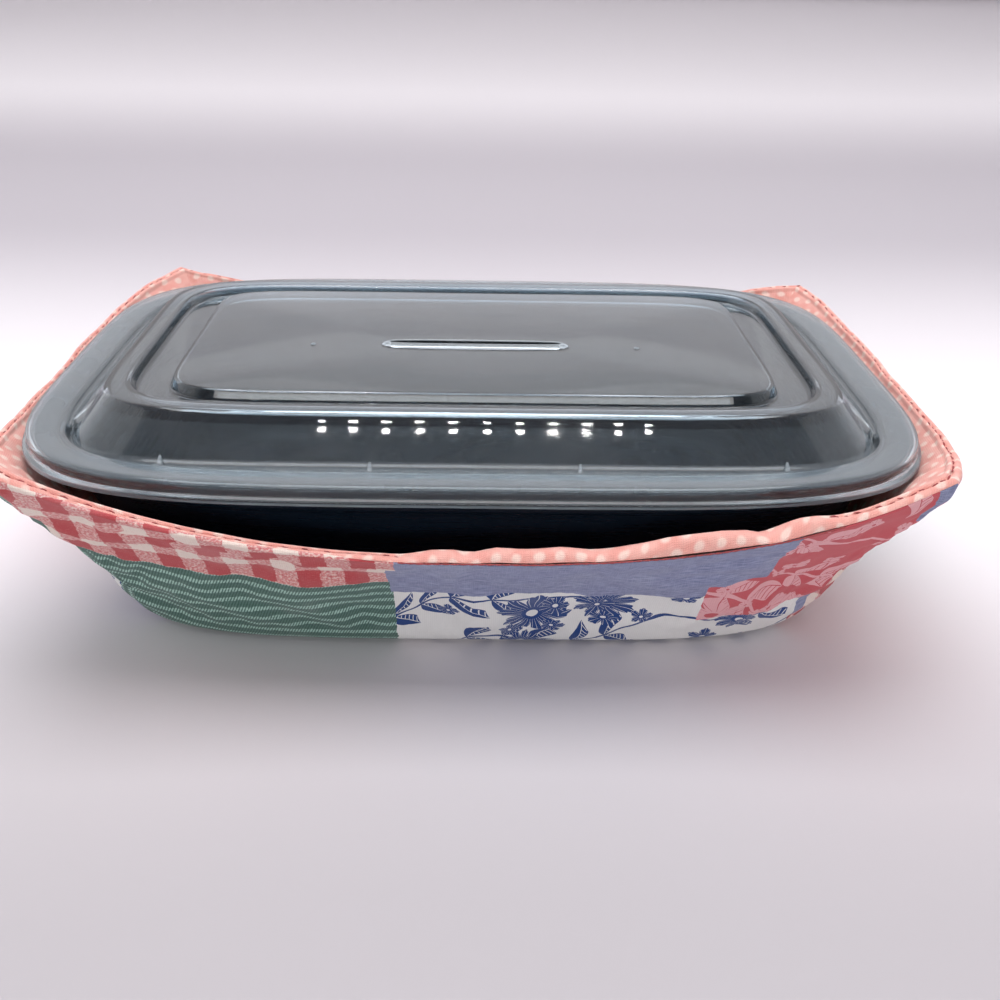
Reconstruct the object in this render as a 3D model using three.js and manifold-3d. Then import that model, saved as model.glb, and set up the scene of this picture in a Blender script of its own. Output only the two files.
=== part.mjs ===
// A rectangular microwave meal container with its vented press-on lid, standing in a sewn and
// padded cloth cozy whose four corners flare up into points that stay cool enough to hold.
// Millimetres, +Z up, the origin on the table under the middle of the cozy.
import * as THREE from "three";
import { mergeVertices } from "three/addons/utils/BufferGeometryUtils.js";
import Module from "manifold-3d";

const wasm = await Module();
wasm.setup();

// Colours and finishes.
const MATERIALS = {
  patchworkCotton: { color: "#7f8fb4", roughness: 0.92, metalness: 0 },
  wadding: { color: "#f1ece2", roughness: 1, metalness: 0 },
  dottedCotton: { color: "#e79a8c", roughness: 0.9, metalness: 0 },
  blackPlastic: { color: "#0c0e14", roughness: 0.35, metalness: 0 },
  clearPlastic: { color: "#c9ced1", roughness: 0.2, metalness: 0, transparent: true, opacity: 0.4 },
};

// Every outline is a superellipse: the higher the power, the squarer the corners.
const LONG_STEPS = 7; // steps on each half of a long side
const SHORT_STEPS = 6; // steps on each half of a short side
const CORNER_CROWDING = 1.5; // how closely the steps crowd towards the corners

// Clearances.
const SEWN_GAP = 0.3; // between two layers of the cozy
const SEAT_GAP = 0.3; // between the container and the lining that it stands on
const SNAP_GAP = 0.3; // between the lid and the container's flange
const CUT_OVERRUN = 3; // how far a cutting tool runs past what it cuts
const WELD_DEPTH = 0.3; // how deep a moulded rib or bead is rooted in its wall

// The cozy's layers, from the outside in.
const COVER_CLOTH = 0.8;
const COVER_WADDING = 1.1;
const LINING_WADDING = 1.1;
const LINING_CLOTH = 0.7;

// The cozy's sewn shape, fitted round the container: a short side is an end, a long one a side.
const COZY = {
  endBaseRoom: 10.8, // from the container's foot out to the edge of the cozy's base
  sideBaseRoom: 10.3,
  basePower: 4.5,
  baseRound: 8, // radius of the edge between the base and the walls
  endLipRoom: 6.4, // from the lid's rim out to the lip, at the middle of a short side
  sideLipRoom: 8, // and at the middle of a long side
  longLipDrop: 12.3, // the lip at the middle of a long side, below the container's flange
  shortLipDrop: 1.8, // and at the middle of a short side
  longSagPower: 2.2,
  shortSagPower: 2.8,
  longBulgePower: 5,
  shortBulgePower: 4.2,
  cornerReachPower: 4, // how quickly the corners' own lean fades beside them
  rollRise: 2.4, // how far the lining's roll stands above the seam
  waddingStop: 1.6, // how far the wadding ends below the seam
};
// The four corner points, named by where they are: front or back, then left or right. Each is set
// in from the lip's middles and stands above the container's flange.
const POINTS = {
  frontLeft: { endInset: 15.5, sideInset: 3.5, rise: 7.2 },
  frontRight: { endInset: 17, sideInset: 3.5, rise: 7.2 },
  backLeft: { endInset: 16, sideInset: 3.5, rise: 2.2 },
  backRight: { endInset: 6, sideInset: 10.5, rise: 1.2 },
};
const WALL_SHARES = [0, 0.25, 0.5, 0.75, 1]; // rings up the wall, from the base to the lip
const SIDE_LEAN_SHARES = [0, 0.18, 0.4, 0.67, 1]; // how far out each ring is on the sides
const CORNER_LEAN_SHARES = [0, 0.22, 0.48, 0.78, 1]; // and at the corners, which are blunt below
const ROUND_ANGLES = [0, 28, 54, 76]; // rings round the base edge, in degrees

// The container.
const TUB = {
  wall: 0.9,
  footHalfLength: 86.5,
  footHalfWidth: 52,
  footWidth: 4,
  footHeight: 1, // how far the floor is raised inside the foot
  footLeanShare: 0.4, // how far the wall's thickness shows along the foot's inner slope
  baseRise: 3.5, // height of the rounded edge between the foot and the wall
  baseSpread: 3.5, // how far that edge goes out
  baseBulgeShare: 0.7, // how round that edge is
  endLean: 17.5, // from the foot out to the stacking shoulder, at the short sides
  sideLean: 17, // and at the long sides
  shoulderDrop: 9, // the shoulder, below the flange's top
  shoulderRise: 1.2,
  shoulderStep: 1.1,
  endMouthStep: 1.6, // from the shoulder out to the mouth
  sideMouthStep: 1.4,
  flangeTop: 52.8, // above the table
  flangeLip: 2.4, // how far the flange's edge turns down
  basePower: 5,
  rimPower: 4.4,
};

// The lid, with heights measured from the top of its rim.
const LID = {
  skin: 0.7,
  endRimReach: 7, // from the container's mouth out to the bottom edge of the skirt
  sideRimReach: 5.6,
  rimPower: 4.4,
  skirtHeight: 4.5,
  skirtLedge: 1.1, // how far the bottom edge turns out
  skirtLedgeRise: 1.5,
  rimRound: 2, // the rounded outer edge of the rim's top
  rimRoundShare: 0.3, // how close the middle of that edge comes to a square corner
  rimWidth: 9.2, // from the skirt's wall to the rim's inner edge
  rimInnerPower: 5.2,
  rimInnerDrop: 0.7,
  troughDepth: 2.3,
  troughWallLean: 0.8,
  padRise: 0.7, // the raised pads in the trough of the short sides
  padShare: 0.72, // how much of a short side a pad takes
  endDomeInset: 19.8, // from the skirt in to the outer edge of the ridge
  sideDomeInset: 24.8,
  domeFootOut: 6.8, // how far the dome's foot stands out from the ridge
  domeRise: 6.5, // the ridge's height above the rim's top
  domeFootPower: 7,
  ridgePower: 7,
  ridgeRound: 0.9,
  ridgeWidth: 5.6,
  grooveDepth: 2.6,
  grooveWallLean: 0.9,
  endPlateauInset: 16.2, // from the ridge in to the plateau
  sidePlateauInset: 12.2,
  plateauRise: 0.3, // the plateau's height above the ridge
  plateauPower: 9,
};

// The steam vent in the lid's plateau.
const VENT = {
  length: 46,
  slot: 1.8,
  beadWidth: 1.5,
  beadRise: 0.6,
  offset: -6, // towards the front
  steps: 8,
};

// The small stiffening fins in the lid's trough.
const FIN = {
  pitch: 48.4,
  perSide: 4,
  thickness: 0.9,
  rise: 2.1,
  run: 4.2,
};

// Heights and thicknesses that follow from the sizes above.
const SEAM_COVER = COVER_CLOTH + SEWN_GAP;
const SEAM_MIDDLE = SEAM_COVER + COVER_WADDING + SEWN_GAP;
const SEAM_LINING = SEAM_MIDDLE + LINING_WADDING + SEWN_GAP;
const COZY_THICKNESS = SEAM_LINING + LINING_CLOTH;
const TUB_BOTTOM = COZY_THICKNESS + SEAT_GAP;
const LID_TOP = TUB.flangeTop + SNAP_GAP + LID.rimInnerDrop + LID.skin; // the rim's top

// The outlines that follow from the container's foot, as half lengths and half widths: each is
// let out or taken in from another, at the ends and at the sides.
function outlineFrom(other, end, side) {
  return { halfLength: other.halfLength + end, halfWidth: other.halfWidth + side };
}

const FOOT = { halfLength: TUB.footHalfLength, halfWidth: TUB.footHalfWidth };
const SHOULDER = outlineFrom(FOOT, TUB.endLean, TUB.sideLean);
const MOUTH = outlineFrom(SHOULDER, TUB.endMouthStep, TUB.sideMouthStep);
const RIM = outlineFrom(MOUTH, LID.endRimReach, LID.sideRimReach);
const DOME = outlineFrom(RIM, -LID.endDomeInset, -LID.sideDomeInset);
const PLATEAU = outlineFrom(DOME, -LID.endPlateauInset, -LID.sidePlateauInset);
const BASE = outlineFrom(FOOT, COZY.endBaseRoom, COZY.sideBaseRoom);
const LIP = outlineFrom(RIM, COZY.endLipRoom, COZY.sideLipRoom);

// The stations round an outline: points on the border of the unit square, front side first.
function halfSideSteps(count) {
  return Array.from({ length: count + 1 }, (_, i) => 1 - (1 - i / count) ** CORNER_CROWDING);
}

function sideSteps(count) {
  const half = halfSideSteps(count);
  const below = half.slice(1).reverse().map((share) => -share);
  return [...below, ...half].slice(0, -1);
}

const STATIONS = [
  ...sideSteps(LONG_STEPS).map((s) => ({ x: s, y: -1 })),
  ...sideSteps(SHORT_STEPS).map((s) => ({ x: 1, y: s })),
  ...sideSteps(LONG_STEPS).map((s) => ({ x: -s, y: 1 })),
  ...sideSteps(SHORT_STEPS).map((s) => ({ x: -1, y: -s })),
];

// A point of the superellipse in a station's direction, some way out from an outline.
function onOutline(station, outline, out, power) {
  const reach = (Math.abs(station.x) ** power + Math.abs(station.y) ** power) ** (-1 / power);
  return {
    x: (outline.halfLength + out) * station.x * reach,
    y: (outline.halfWidth + out) * station.y * reach,
  };
}

// A level ring of a moulded piece.
function levelRing(outline, out, height, power) {
  return STATIONS.map((station) => {
    const p = onOutline(station, outline, out, power);
    return new THREE.Vector3(p.x, p.y, height);
  });
}

// Joins two stacks of rings into one closed skin. Each stack runs from a middle, where it is closed
// to a point, out to the edge where the two meet. The first one faces down or out. Both stacks are
// split into triangles along the same diagonals, so that nested skins keep their distance.
function closedSkin(first, second) {
  const rings = [...first, ...second.toReversed()];
  const count = first[0].length;
  const points = rings.flat();
  const middle = (ring) => ring.reduce((sum, p) => sum.add(p), new THREE.Vector3()).divideScalar(count);
  const firstMiddle = points.push(middle(rings[0])) - 1;
  const lastMiddle = points.push(middle(rings.at(-1))) - 1;
  const faces = [];
  for (let i = 0; i < count; i++) {
    const next = (i + 1) % count;
    faces.push(firstMiddle, next, i);
    for (let r = 0; r + 1 < rings.length; r++) {
      const [a, b] = [r * count + i, r * count + next];
      const [d, c] = [a + count, b + count];
      faces.push(...(r < first.length ? [a, b, c, a, c, d] : [a, b, d, b, c, d]));
    }
    const top = (rings.length - 1) * count;
    faces.push(lastMiddle, top + i, top + next);
  }
  return new THREE.BufferGeometry().setFromPoints(points).setIndex(faces);
}

// A closed geometry as a solid that can be joined and cut, and back again.
function solidOf(geometry) {
  const bare = geometry.clone().deleteAttribute("normal").deleteAttribute("uv");
  const merged = mergeVertices(bare);
  return new wasm.Manifold(
    new wasm.Mesh({
      numProp: 3,
      vertProperties: merged.attributes.position.array,
      triVerts: new Uint32Array(merged.index.array),
    }),
  );
}

function geometryOf(solid) {
  const mesh = solid.getMesh();
  const geometry = new THREE.BufferGeometry();
  geometry.setAttribute("position", new THREE.BufferAttribute(mesh.vertProperties, 3));
  return geometry.setIndex(new THREE.BufferAttribute(mesh.triVerts, 1));
}

// The cozy's lip, inset by some depth into its thickness.
function lipPoint(station, depth) {
  const row = station.y < 0 ? "front" : "back";
  const point = POINTS[row + (station.x < 0 ? "Left" : "Right")];
  const corner = outlineFrom(LIP, -point.endInset - depth, -point.sideInset - depth);
  if (Math.abs(station.y) === 1) {
    const along = Math.abs(station.x);
    const bulge = point.sideInset * (1 - along ** COZY.longBulgePower);
    const climb = (COZY.longLipDrop + point.rise) * along ** COZY.longSagPower;
    return {
      x: corner.halfLength * station.x,
      y: (corner.halfWidth + bulge) * station.y,
      z: TUB.flangeTop - COZY.longLipDrop + climb,
    };
  }
  const along = Math.abs(station.y);
  const bulge = point.endInset * (1 - along ** COZY.shortBulgePower);
  const climb = (COZY.shortLipDrop + point.rise) * along ** COZY.shortSagPower;
  return {
    x: (corner.halfLength + bulge) * station.x,
    y: corner.halfWidth * station.y,
    z: TUB.flangeTop - COZY.shortLipDrop + climb,
  };
}

// Reads a table of leans, one for each ring up the wall, at any share of the way up.
function alongTable(leans, share) {
  const above = Math.max(1, WALL_SHARES.findIndex((ring) => ring >= share));
  const [low, high] = [WALL_SHARES[above - 1], WALL_SHARES[above]];
  return THREE.MathUtils.lerp(leans[above - 1], leans[above], (share - low) / (high - low));
}

// A ring of the cozy at a depth into its thickness and a share of the way up its wall, on a wall
// that stops some way down from the lip.
function wallRing(depth, wallShare, stop = 0) {
  const round = COZY.baseRound - depth;
  const foot = Math.max(...ROUND_ANGLES) * (Math.PI / 180);
  const out = COZY.baseRound - round * Math.sin(foot);
  return STATIONS.map((station) => {
    const base = onOutline(station, BASE, -out, COZY.basePower);
    const baseHeight = depth + round * (1 - Math.cos(foot));
    const lip = lipPoint(station, depth);
    const share = Math.min(wallShare, 1 - stop / (lip.z - baseHeight));
    const cornerness = Math.min(Math.abs(station.x), Math.abs(station.y)) ** COZY.cornerReachPower;
    const lean = THREE.MathUtils.lerp(
      alongTable(SIDE_LEAN_SHARES, share),
      alongTable(CORNER_LEAN_SHARES, share),
      cornerness,
    );
    return new THREE.Vector3(
      THREE.MathUtils.lerp(base.x, lip.x, lean),
      THREE.MathUtils.lerp(base.y, lip.y, lean),
      THREE.MathUtils.lerp(baseHeight, lip.z, share),
    );
  });
}

// The rings of one face of a layer, from the flat base up to the lip.
function layerFace(depth, stop = 0) {
  const round = COZY.baseRound - depth;
  const edge = ROUND_ANGLES.slice(0, -1).map((degrees) => {
    const angle = degrees * (Math.PI / 180);
    const out = COZY.baseRound - round * Math.sin(angle);
    return levelRing(BASE, -out, depth + round * (1 - Math.cos(angle)), COZY.basePower);
  });
  return [...edge, ...WALL_SHARES.map((share) => wallRing(depth, share, stop))];
}

// The lip, moved sideways into the thickness and up from the seam.
function lipRing(depth, rise) {
  return STATIONS.map((station) => {
    const p = lipPoint(station, depth);
    return new THREE.Vector3(p.x, p.y, p.z + rise);
  });
}

// A layer of cloth or wadding that ends at, or a little below, the seam.
function layer(outerDepth, innerDepth, stop) {
  return closedSkin(layerFace(outerDepth, stop), layerFace(innerDepth, stop));
}

// The lining goes up the inside, rolls over the wadding and meets the cover at the seam.
function lining() {
  const middle = COZY_THICKNESS / 2;
  const shoulder = COZY.rollRise - LINING_CLOTH;
  const under = [
    ...layerFace(SEAM_LINING, COZY.waddingStop),
    lipRing(SEAM_LINING, 0),
    lipRing(middle, shoulder),
    lipRing(SEAM_COVER, SEWN_GAP),
    lipRing(0, SEWN_GAP),
  ];
  const over = [
    ...layerFace(COZY_THICKNESS),
    lipRing(SEAM_LINING, shoulder),
    lipRing(middle, COZY.rollRise),
    lipRing(COVER_CLOTH, shoulder),
    lipRing(0, LINING_CLOTH),
  ];
  return closedSkin(under, over);
}

// The container's outside from the middle of its floor to below its flange, or its inside.
function tubFace(inset) {
  const grow = (out, height) => levelRing(FOOT, out, height, TUB.basePower);
  const table = TUB_BOTTOM + inset;
  const footInside = -TUB.footWidth + inset * TUB.footLeanShare;
  const shoulder = TUB.flangeTop - TUB.shoulderDrop;
  return [
    grow(footInside - TUB.footHeight, table + TUB.footHeight),
    grow(footInside, table),
    grow(-inset, table),
    grow(TUB.baseSpread * TUB.baseBulgeShare - inset, table + TUB.baseRise * (1 - TUB.baseBulgeShare)),
    grow(TUB.baseSpread - inset, table + TUB.baseRise),
    levelRing(SHOULDER, -inset - TUB.shoulderStep, shoulder, TUB.rimPower),
    levelRing(SHOULDER, -inset, shoulder + TUB.shoulderRise, TUB.rimPower),
  ];
}

function tub() {
  const inLid = LID.skirtLedge + LID.skin + 2 * SNAP_GAP;
  const ring = (inward, drop) =>
    levelRing(RIM, -inLid - inward, TUB.flangeTop - drop, TUB.rimPower);
  const mouth = (inward, drop) => levelRing(MOUTH, -inward, TUB.flangeTop - drop, TUB.rimPower);
  const outside = [
    ...tubFace(0),
    mouth(0, TUB.wall),
    ring(TUB.wall, TUB.wall),
    ring(TUB.wall, TUB.flangeLip),
    ring(0, TUB.flangeLip),
  ];
  const inside = [...tubFace(TUB.wall), mouth(TUB.wall, TUB.wall), mouth(0, 0), ring(TUB.wall / 2, 0)];
  return closedSkin(outside, [...inside, ring(0, TUB.wall / 2)]);
}

// The pads that stiffen the trough along the two short sides.
function withPads(ring) {
  return ring.map((p, i) => {
    const station = STATIONS[i];
    const onPad = Math.abs(station.x) === 1 && Math.abs(station.y) < LID.padShare;
    return onPad ? new THREE.Vector3(p.x, p.y, p.z + LID.padRise) : p;
  });
}

// One face of the lid: the top when the drop is zero, and the underside when it is the skin.
// The rings run from the skirt's wall in to the plateau. Where the way in leads down, the
// underside lies further out than the top, and where it leads up, further in.
function lidFace(drop) {
  const rimRing = (inward, rise, power = LID.rimPower) =>
    levelRing(RIM, -LID.skirtLedge - inward, LID_TOP + rise - drop, power);
  const domeRing = (outward, rise, power) => levelRing(DOME, outward, LID_TOP + rise - drop, power);
  const plateauRing = (outward, rise) =>
    levelRing(PLATEAU, outward, LID_TOP + rise - drop, LID.plateauPower);
  const middle = LID.rimRound * LID.rimRoundShare;
  const groove = LID.domeRise - LID.grooveDepth;
  return [
    rimRing(drop, -LID.rimRound),
    rimRing(drop + middle, -middle),
    rimRing(drop + LID.rimRound, 0),
    rimRing(LID.rimWidth - drop, -LID.rimInnerDrop, LID.rimInnerPower),
    withPads(rimRing(LID.rimWidth - drop + LID.troughWallLean, -LID.troughDepth, LID.rimInnerPower)),
    withPads(domeRing(LID.domeFootOut - drop, -LID.troughDepth, LID.domeFootPower)),
    domeRing(LID.ridgeRound - drop, LID.domeRise - LID.ridgeRound, LID.ridgePower),
    domeRing(-drop, LID.domeRise, LID.ridgePower),
    domeRing(drop - LID.ridgeWidth, LID.domeRise, LID.ridgePower),
    domeRing(drop - LID.ridgeWidth - LID.grooveWallLean, groove, LID.ridgePower),
    plateauRing(LID.grooveWallLean - drop, groove),
    plateauRing(-drop, LID.domeRise + LID.plateauRise),
  ];
}

// The skirt below the rim, turned out into a ledge at its bottom edge.
function lidShell() {
  const ring = (inward, rise) =>
    levelRing(RIM, -inward, LID_TOP - LID.skirtHeight + rise, LID.rimPower);
  const under = [...lidFace(LID.skin).reverse(), ring(LID.skirtLedge + LID.skin, 0), ring(0, 0)];
  const over = [
    ...lidFace(0).reverse(),
    ring(LID.skirtLedge, LID.skirtLedgeRise),
    ring(0, LID.skirtLedgeRise),
  ];
  return closedSkin(under, over);
}

// A flat slot with round ends, standing on the XY plane.
function roundEndedSlot(length, width, height) {
  const shape = new THREE.Shape();
  const reach = (length - width) / 2;
  shape.absarc(reach, 0, width / 2, -Math.PI / 2, Math.PI / 2);
  shape.absarc(-reach, 0, width / 2, Math.PI / 2, Math.PI * 1.5);
  return new THREE.ExtrudeGeometry(shape, {
    depth: height,
    bevelEnabled: false,
    curveSegments: VENT.steps,
  });
}

// A fin is a thin right triangle across the trough, tall on the side of the dome.
function fin(place, side) {
  const outline = new THREE.Shape();
  outline.moveTo(-WELD_DEPTH, -WELD_DEPTH);
  outline.lineTo(FIN.run, -WELD_DEPTH);
  outline.lineTo(FIN.run, FIN.rise);
  const geometry = new THREE.ExtrudeGeometry(outline, { depth: FIN.thickness, bevelEnabled: false });
  geometry.translate(0, 0, -FIN.thickness / 2);
  geometry.rotateX(Math.PI / 2);
  geometry.rotateZ((-side * Math.PI) / 2);
  const inset = LID.skirtLedge + LID.rimWidth + LID.troughWallLean;
  const across = Math.abs(place) / (RIM.halfLength - inset);
  const bow = (1 - across ** LID.rimInnerPower) ** (1 / LID.rimInnerPower);
  geometry.translate(place, side * bow * (RIM.halfWidth - inset), LID_TOP - LID.troughDepth);
  return geometry;
}

function lid() {
  let solid = solidOf(lidShell());
  const plateauTop = LID_TOP + LID.domeRise + LID.plateauRise;
  const bead = roundEndedSlot(
    VENT.length + 2 * VENT.beadWidth,
    VENT.slot + 2 * VENT.beadWidth,
    VENT.beadRise + WELD_DEPTH,
  ).translate(0, VENT.offset, plateauTop - WELD_DEPTH);
  const slot = roundEndedSlot(
    VENT.length,
    VENT.slot,
    LID.skin + VENT.beadRise + 2 * CUT_OVERRUN,
  ).translate(0, VENT.offset, plateauTop - LID.skin - CUT_OVERRUN);
  for (let i = 0; i < FIN.perSide; i++) {
    const place = (i - (FIN.perSide - 1) / 2) * FIN.pitch;
    solid = solid.add(solidOf(fin(place, -1))).add(solidOf(fin(place, 1)));
  }
  return geometryOf(solid.add(solidOf(bead)).subtract(solidOf(slot)));
}

function piece(name, geometry, material) {
  geometry.computeVertexNormals();
  const mesh = new THREE.Mesh(geometry, new THREE.MeshStandardMaterial(material));
  mesh.name = name;
  return mesh;
}

const cozy = new THREE.Group();
cozy.add(piece("cozy_cover", layer(0, COVER_CLOTH, 0), MATERIALS.patchworkCotton));
cozy.add(
  piece(
    "cover_wadding",
    layer(SEAM_COVER, SEAM_COVER + COVER_WADDING, COZY.waddingStop),
    MATERIALS.wadding,
  ),
);
cozy.add(
  piece(
    "lining_wadding",
    layer(SEAM_MIDDLE, SEAM_MIDDLE + LINING_WADDING, COZY.waddingStop),
    MATERIALS.wadding,
  ),
);
cozy.add(piece("cozy_lining", lining(), MATERIALS.dottedCotton));

const meal = new THREE.Group();
meal.add(piece("container_tub", tub(), MATERIALS.blackPlastic));
meal.add(piece("container_lid", lid(), MATERIALS.clearPlastic));

const assembly = new THREE.Group();
assembly.add(cozy, meal);

export default assembly;
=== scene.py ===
import functools
import math

import bpy
import numpy as np
from bpy.props import FloatProperty, FloatVectorProperty, IntProperty, PointerProperty
from mathutils import Matrix, Vector, noise


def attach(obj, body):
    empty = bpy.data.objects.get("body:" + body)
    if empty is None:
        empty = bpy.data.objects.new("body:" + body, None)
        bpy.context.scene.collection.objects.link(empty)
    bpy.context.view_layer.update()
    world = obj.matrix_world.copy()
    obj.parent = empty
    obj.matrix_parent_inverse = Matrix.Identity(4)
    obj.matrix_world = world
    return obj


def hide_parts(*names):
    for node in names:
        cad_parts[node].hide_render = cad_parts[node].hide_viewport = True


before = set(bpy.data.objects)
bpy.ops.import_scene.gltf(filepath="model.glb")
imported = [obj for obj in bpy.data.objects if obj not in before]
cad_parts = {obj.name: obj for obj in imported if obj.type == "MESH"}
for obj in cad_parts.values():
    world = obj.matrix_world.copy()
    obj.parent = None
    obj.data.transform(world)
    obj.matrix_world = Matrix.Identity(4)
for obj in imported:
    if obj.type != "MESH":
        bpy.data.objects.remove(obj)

bl_info = {
    "name": "Microwave container cozy",
    "version": (1, 0, 0),
    "blender": (4, 5, 0),
    "location": "3D View > Sidebar > Cozy",
    "description": "Sews the padded patchwork cozy and moulds the lidded meal container in it",
    "category": "Object",
}

# ---------------------------------------------------------------------------------------------
# Shapes, in metres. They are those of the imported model, with more rings and rounder edges.
# ---------------------------------------------------------------------------------------------

# Steps on each half of a long and a short side, for cloth, for wadding and for moulded plastic.
CLOTH_STEPS = (62, 46)
WADDING_STEPS = (24, 18)
PLASTIC_STEPS = (30, 26)
CORNER_CROWDING = 1.5

# How deep each face of the cozy's layers lies behind the outside.
COVER_DEPTHS = (0.0, 0.0008)
COVER_WADDING_DEPTHS = (0.0011, 0.0022)
LINING_WADDING_DEPTHS = (0.0025, 0.0036)
LINING_DEPTHS = (0.0039, 0.0046)

BASE = (0.0973, 0.0623)
BASE_POWER = 4.5
BASE_ROUND = 0.008
LIP = (0.119, 0.084)
LONG_LIP_HEIGHT = 0.0403
# How far out and how high the middle of the lip is at each end.
ENDS = {"left": (0.1180, 0.0483), "right": (0.1192, 0.0502)}
SHORT_SAG_POWER = 2.8
LONG_BULGE_POWER = 5.0
CORNER_REACH_POWER = 4
# The corner points: how far out along x and y, how high, and how late the long side rises and
# the short side turns in towards them.
POINTS = {
    "front left": (0.1035, 0.0805, 0.0594, 2.2, 4.2),
    "front right": (0.1025, 0.0805, 0.0595, 2.6, 3.2),
    "back left": (0.103, 0.0805, 0.0545, 2.2, 4.2),
    "back right": (0.113, 0.0735, 0.0535, 2.2, 4.2),
}
WALL_SHARES = (0, 0.25, 0.5, 0.75, 1)
SIDE_LEAN = np.polynomial.Polynomial.fit(WALL_SHARES, (0, 0.18, 0.4, 0.67, 1), 4)
CORNER_LEAN = np.polynomial.Polynomial.fit(WALL_SHARES, (0, 0.22, 0.48, 0.78, 1), 4)
ROUND_ANGLES = np.radians((0, 12, 24, 36, 48, 60, 76))
WADDING_STOP = 0.0016

# The cloth that settles by simulation: its steps, its rings and how far it may move inwards.
SETTLE_STEPS = (26, 20)
SETTLE_RINGS = 14
SETTLE_MOST = 0.0010

# Places along the front in metres, and how high the lining rolls there, as a share.
FRONT_ROLL = (
    (-0.104, 0.20), (-0.084, 0.14), (-0.038, 0.14), (-0.029, 0.18), (-0.022, 0.26),
    (-0.0165, 0.14), (-0.0100, 0.52), (-0.0045, 0.50), (-0.0010, 0.27), (0.0045, 0.72),
    (0.0110, 0.62), (0.0196, 0.76), (0.0262, 0.46), (0.0312, 0.50), (0.0374, 0.70),
    (0.0434, 1.00), (0.0494, 1.02), (0.0555, 0.98), (0.0612, 0.68), (0.0652, 0.20),
    (0.0690, 0.55), (0.0725, 0.74), (0.0765, 0.60), (0.0795, 0.36), (0.0880, 0.24), (0.104, 0.20),
)

# The seam along the lip: how much thinner the wall is there and from how far below, how far in
# from the outside the stitches run, and the distance between the puckers they draw.
SEAM_THINNING, SEAM_HEIGHT = 0.38, 0.0050
STITCH_DEPTH = 0.0028
PUCKER_PITCH = 0.0047
STITCH_PITCH = 0.0026
STITCH_LENGTH = 0.0019
STITCH_RADIUS = 0.00022

# The lid's outlines, as half lengths and half widths.
RIM = (0.1126, 0.0760)
DOME = (0.0928, 0.0512)
PLATEAU = (0.0766, 0.0390)
RIM_POWER, RIM_INNER_POWER, DOME_POWER, PLATEAU_POWER = 4.4, 5.2, 7.0, 9.0
LID_TOP = 0.0545
TROUGH = 0.0034
# The lid's steps, as heights above its rim's top, and how far in from the skirt or out from the
# dome's own outline they lie.
GROOVE_HEIGHT, RIDGE_HEIGHT, PLATEAU_HEIGHT = 0.0039, 0.0065, 0.0068
SKIRT_STEP, RIM_WIDTH, TROUGH_INSET, DOME_FOOT = 0.0011, 0.0092, 0.0100, 0.0077
VENT_MIDDLE = -0.006
PIPS = (-0.044, 0.044)
PIP_MIDDLE, PIP_RADIUS = -0.007, 0.0008
FIN_THICKNESS, FIN_RISE, FIN_RUN, FIN_ROOT = 0.0017, 0.0027, 0.0034, 0.0003
LID_SKIN = 0.0007

# The container's outlines.
FOOT = (0.0865, 0.0520)
SHOULDER = (0.1040, 0.0690)
MOUTH = (0.1056, 0.0704)
TUB_BOTTOM, FLANGE_TOP, TUB_WALL = 0.0049, 0.0528, 0.0009
TUB_POWER = 5.0

# The stage: each panel behind by its lowest and highest edge and its share of the light, the rows
# of small lamps in front, and the camera that was fitted to the photograph.
BACK_PANELS = ((0.40, 1.10, 0.45), (1.10, 1.80, 0.70), (1.80, 4.20, 1.0))
STRIP_ROWS = ((-0.5455, 0.6880), (-0.5270, 0.7035))
STRIP_LAMPS, STRIP_GAP = 11, 0.034
CAMERA_TURN = (1.12, 29.52, 1.16)
CAMERA_PLACE = (-0.00167, -0.26974, 0.16163)
CAMERA_LENS, CAMERA_SHIFT = 36.77, (0.01506, 0.00118)


# ---------------------------------------------------------------------------------------------
# Outlines and rings
# ---------------------------------------------------------------------------------------------


def stations(steps):
    """Points on the border of the unit square, front side first, crowded towards the corners."""

    def side(count):
        half = 1 - (1 - np.arange(count + 1) / count) ** CORNER_CROWDING
        return np.concatenate([-half[:0:-1], half[:-1]])

    along, across = side(steps[0]), side(steps[1])
    one_long, one_short = np.ones_like(along), np.ones_like(across)
    return np.concatenate([
        np.stack([along, -one_long], 1),
        np.stack([one_short, across], 1),
        np.stack([-along, one_long], 1),
        np.stack([-one_short, -across], 1),
    ])


def outline(places, size, out, power):
    """The superellipse point in each station's direction, some way out from a size."""
    reach = (np.abs(places) ** power).sum(1) ** (-1 / power)
    return places * (np.array(size) + out) * reach[:, None]


def level(places, size, out, height, power):
    """A level ring of a moulded piece."""
    ring = outline(places, size, out, power)
    return np.column_stack([ring, np.full(len(ring), height)])


def rounded(rings, radii, steps=4):
    """A stack of rings with each bend rounded by about its radius."""
    result = [rings[0]]
    for i in range(1, len(rings) - 1):
        before, here, after = rings[i - 1], rings[i], rings[i + 1]
        if not radii[i]:
            result.append(here)
            continue
        back, on = before - here, after - here
        back_share = np.minimum(0.46, radii[i] / np.maximum(np.linalg.norm(back, axis=1), 1e-7))
        on_share = np.minimum(0.46, radii[i] / np.maximum(np.linalg.norm(on, axis=1), 1e-7))
        start, end = here + back * back_share[:, None], here + on * on_share[:, None]
        for t in np.linspace(0, 1, steps + 1):
            result.append((1 - t) ** 2 * start + 2 * t * (1 - t) * here + t**2 * end)
    result.append(rings[-1])
    return result


def corner_values(places):
    """The corner point that rules each station."""
    names = [
        ("front " if y < 0 else "back ") + ("left" if x < 0 else "right") for x, y in places
    ]
    return np.array([POINTS[name] for name in names])


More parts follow.
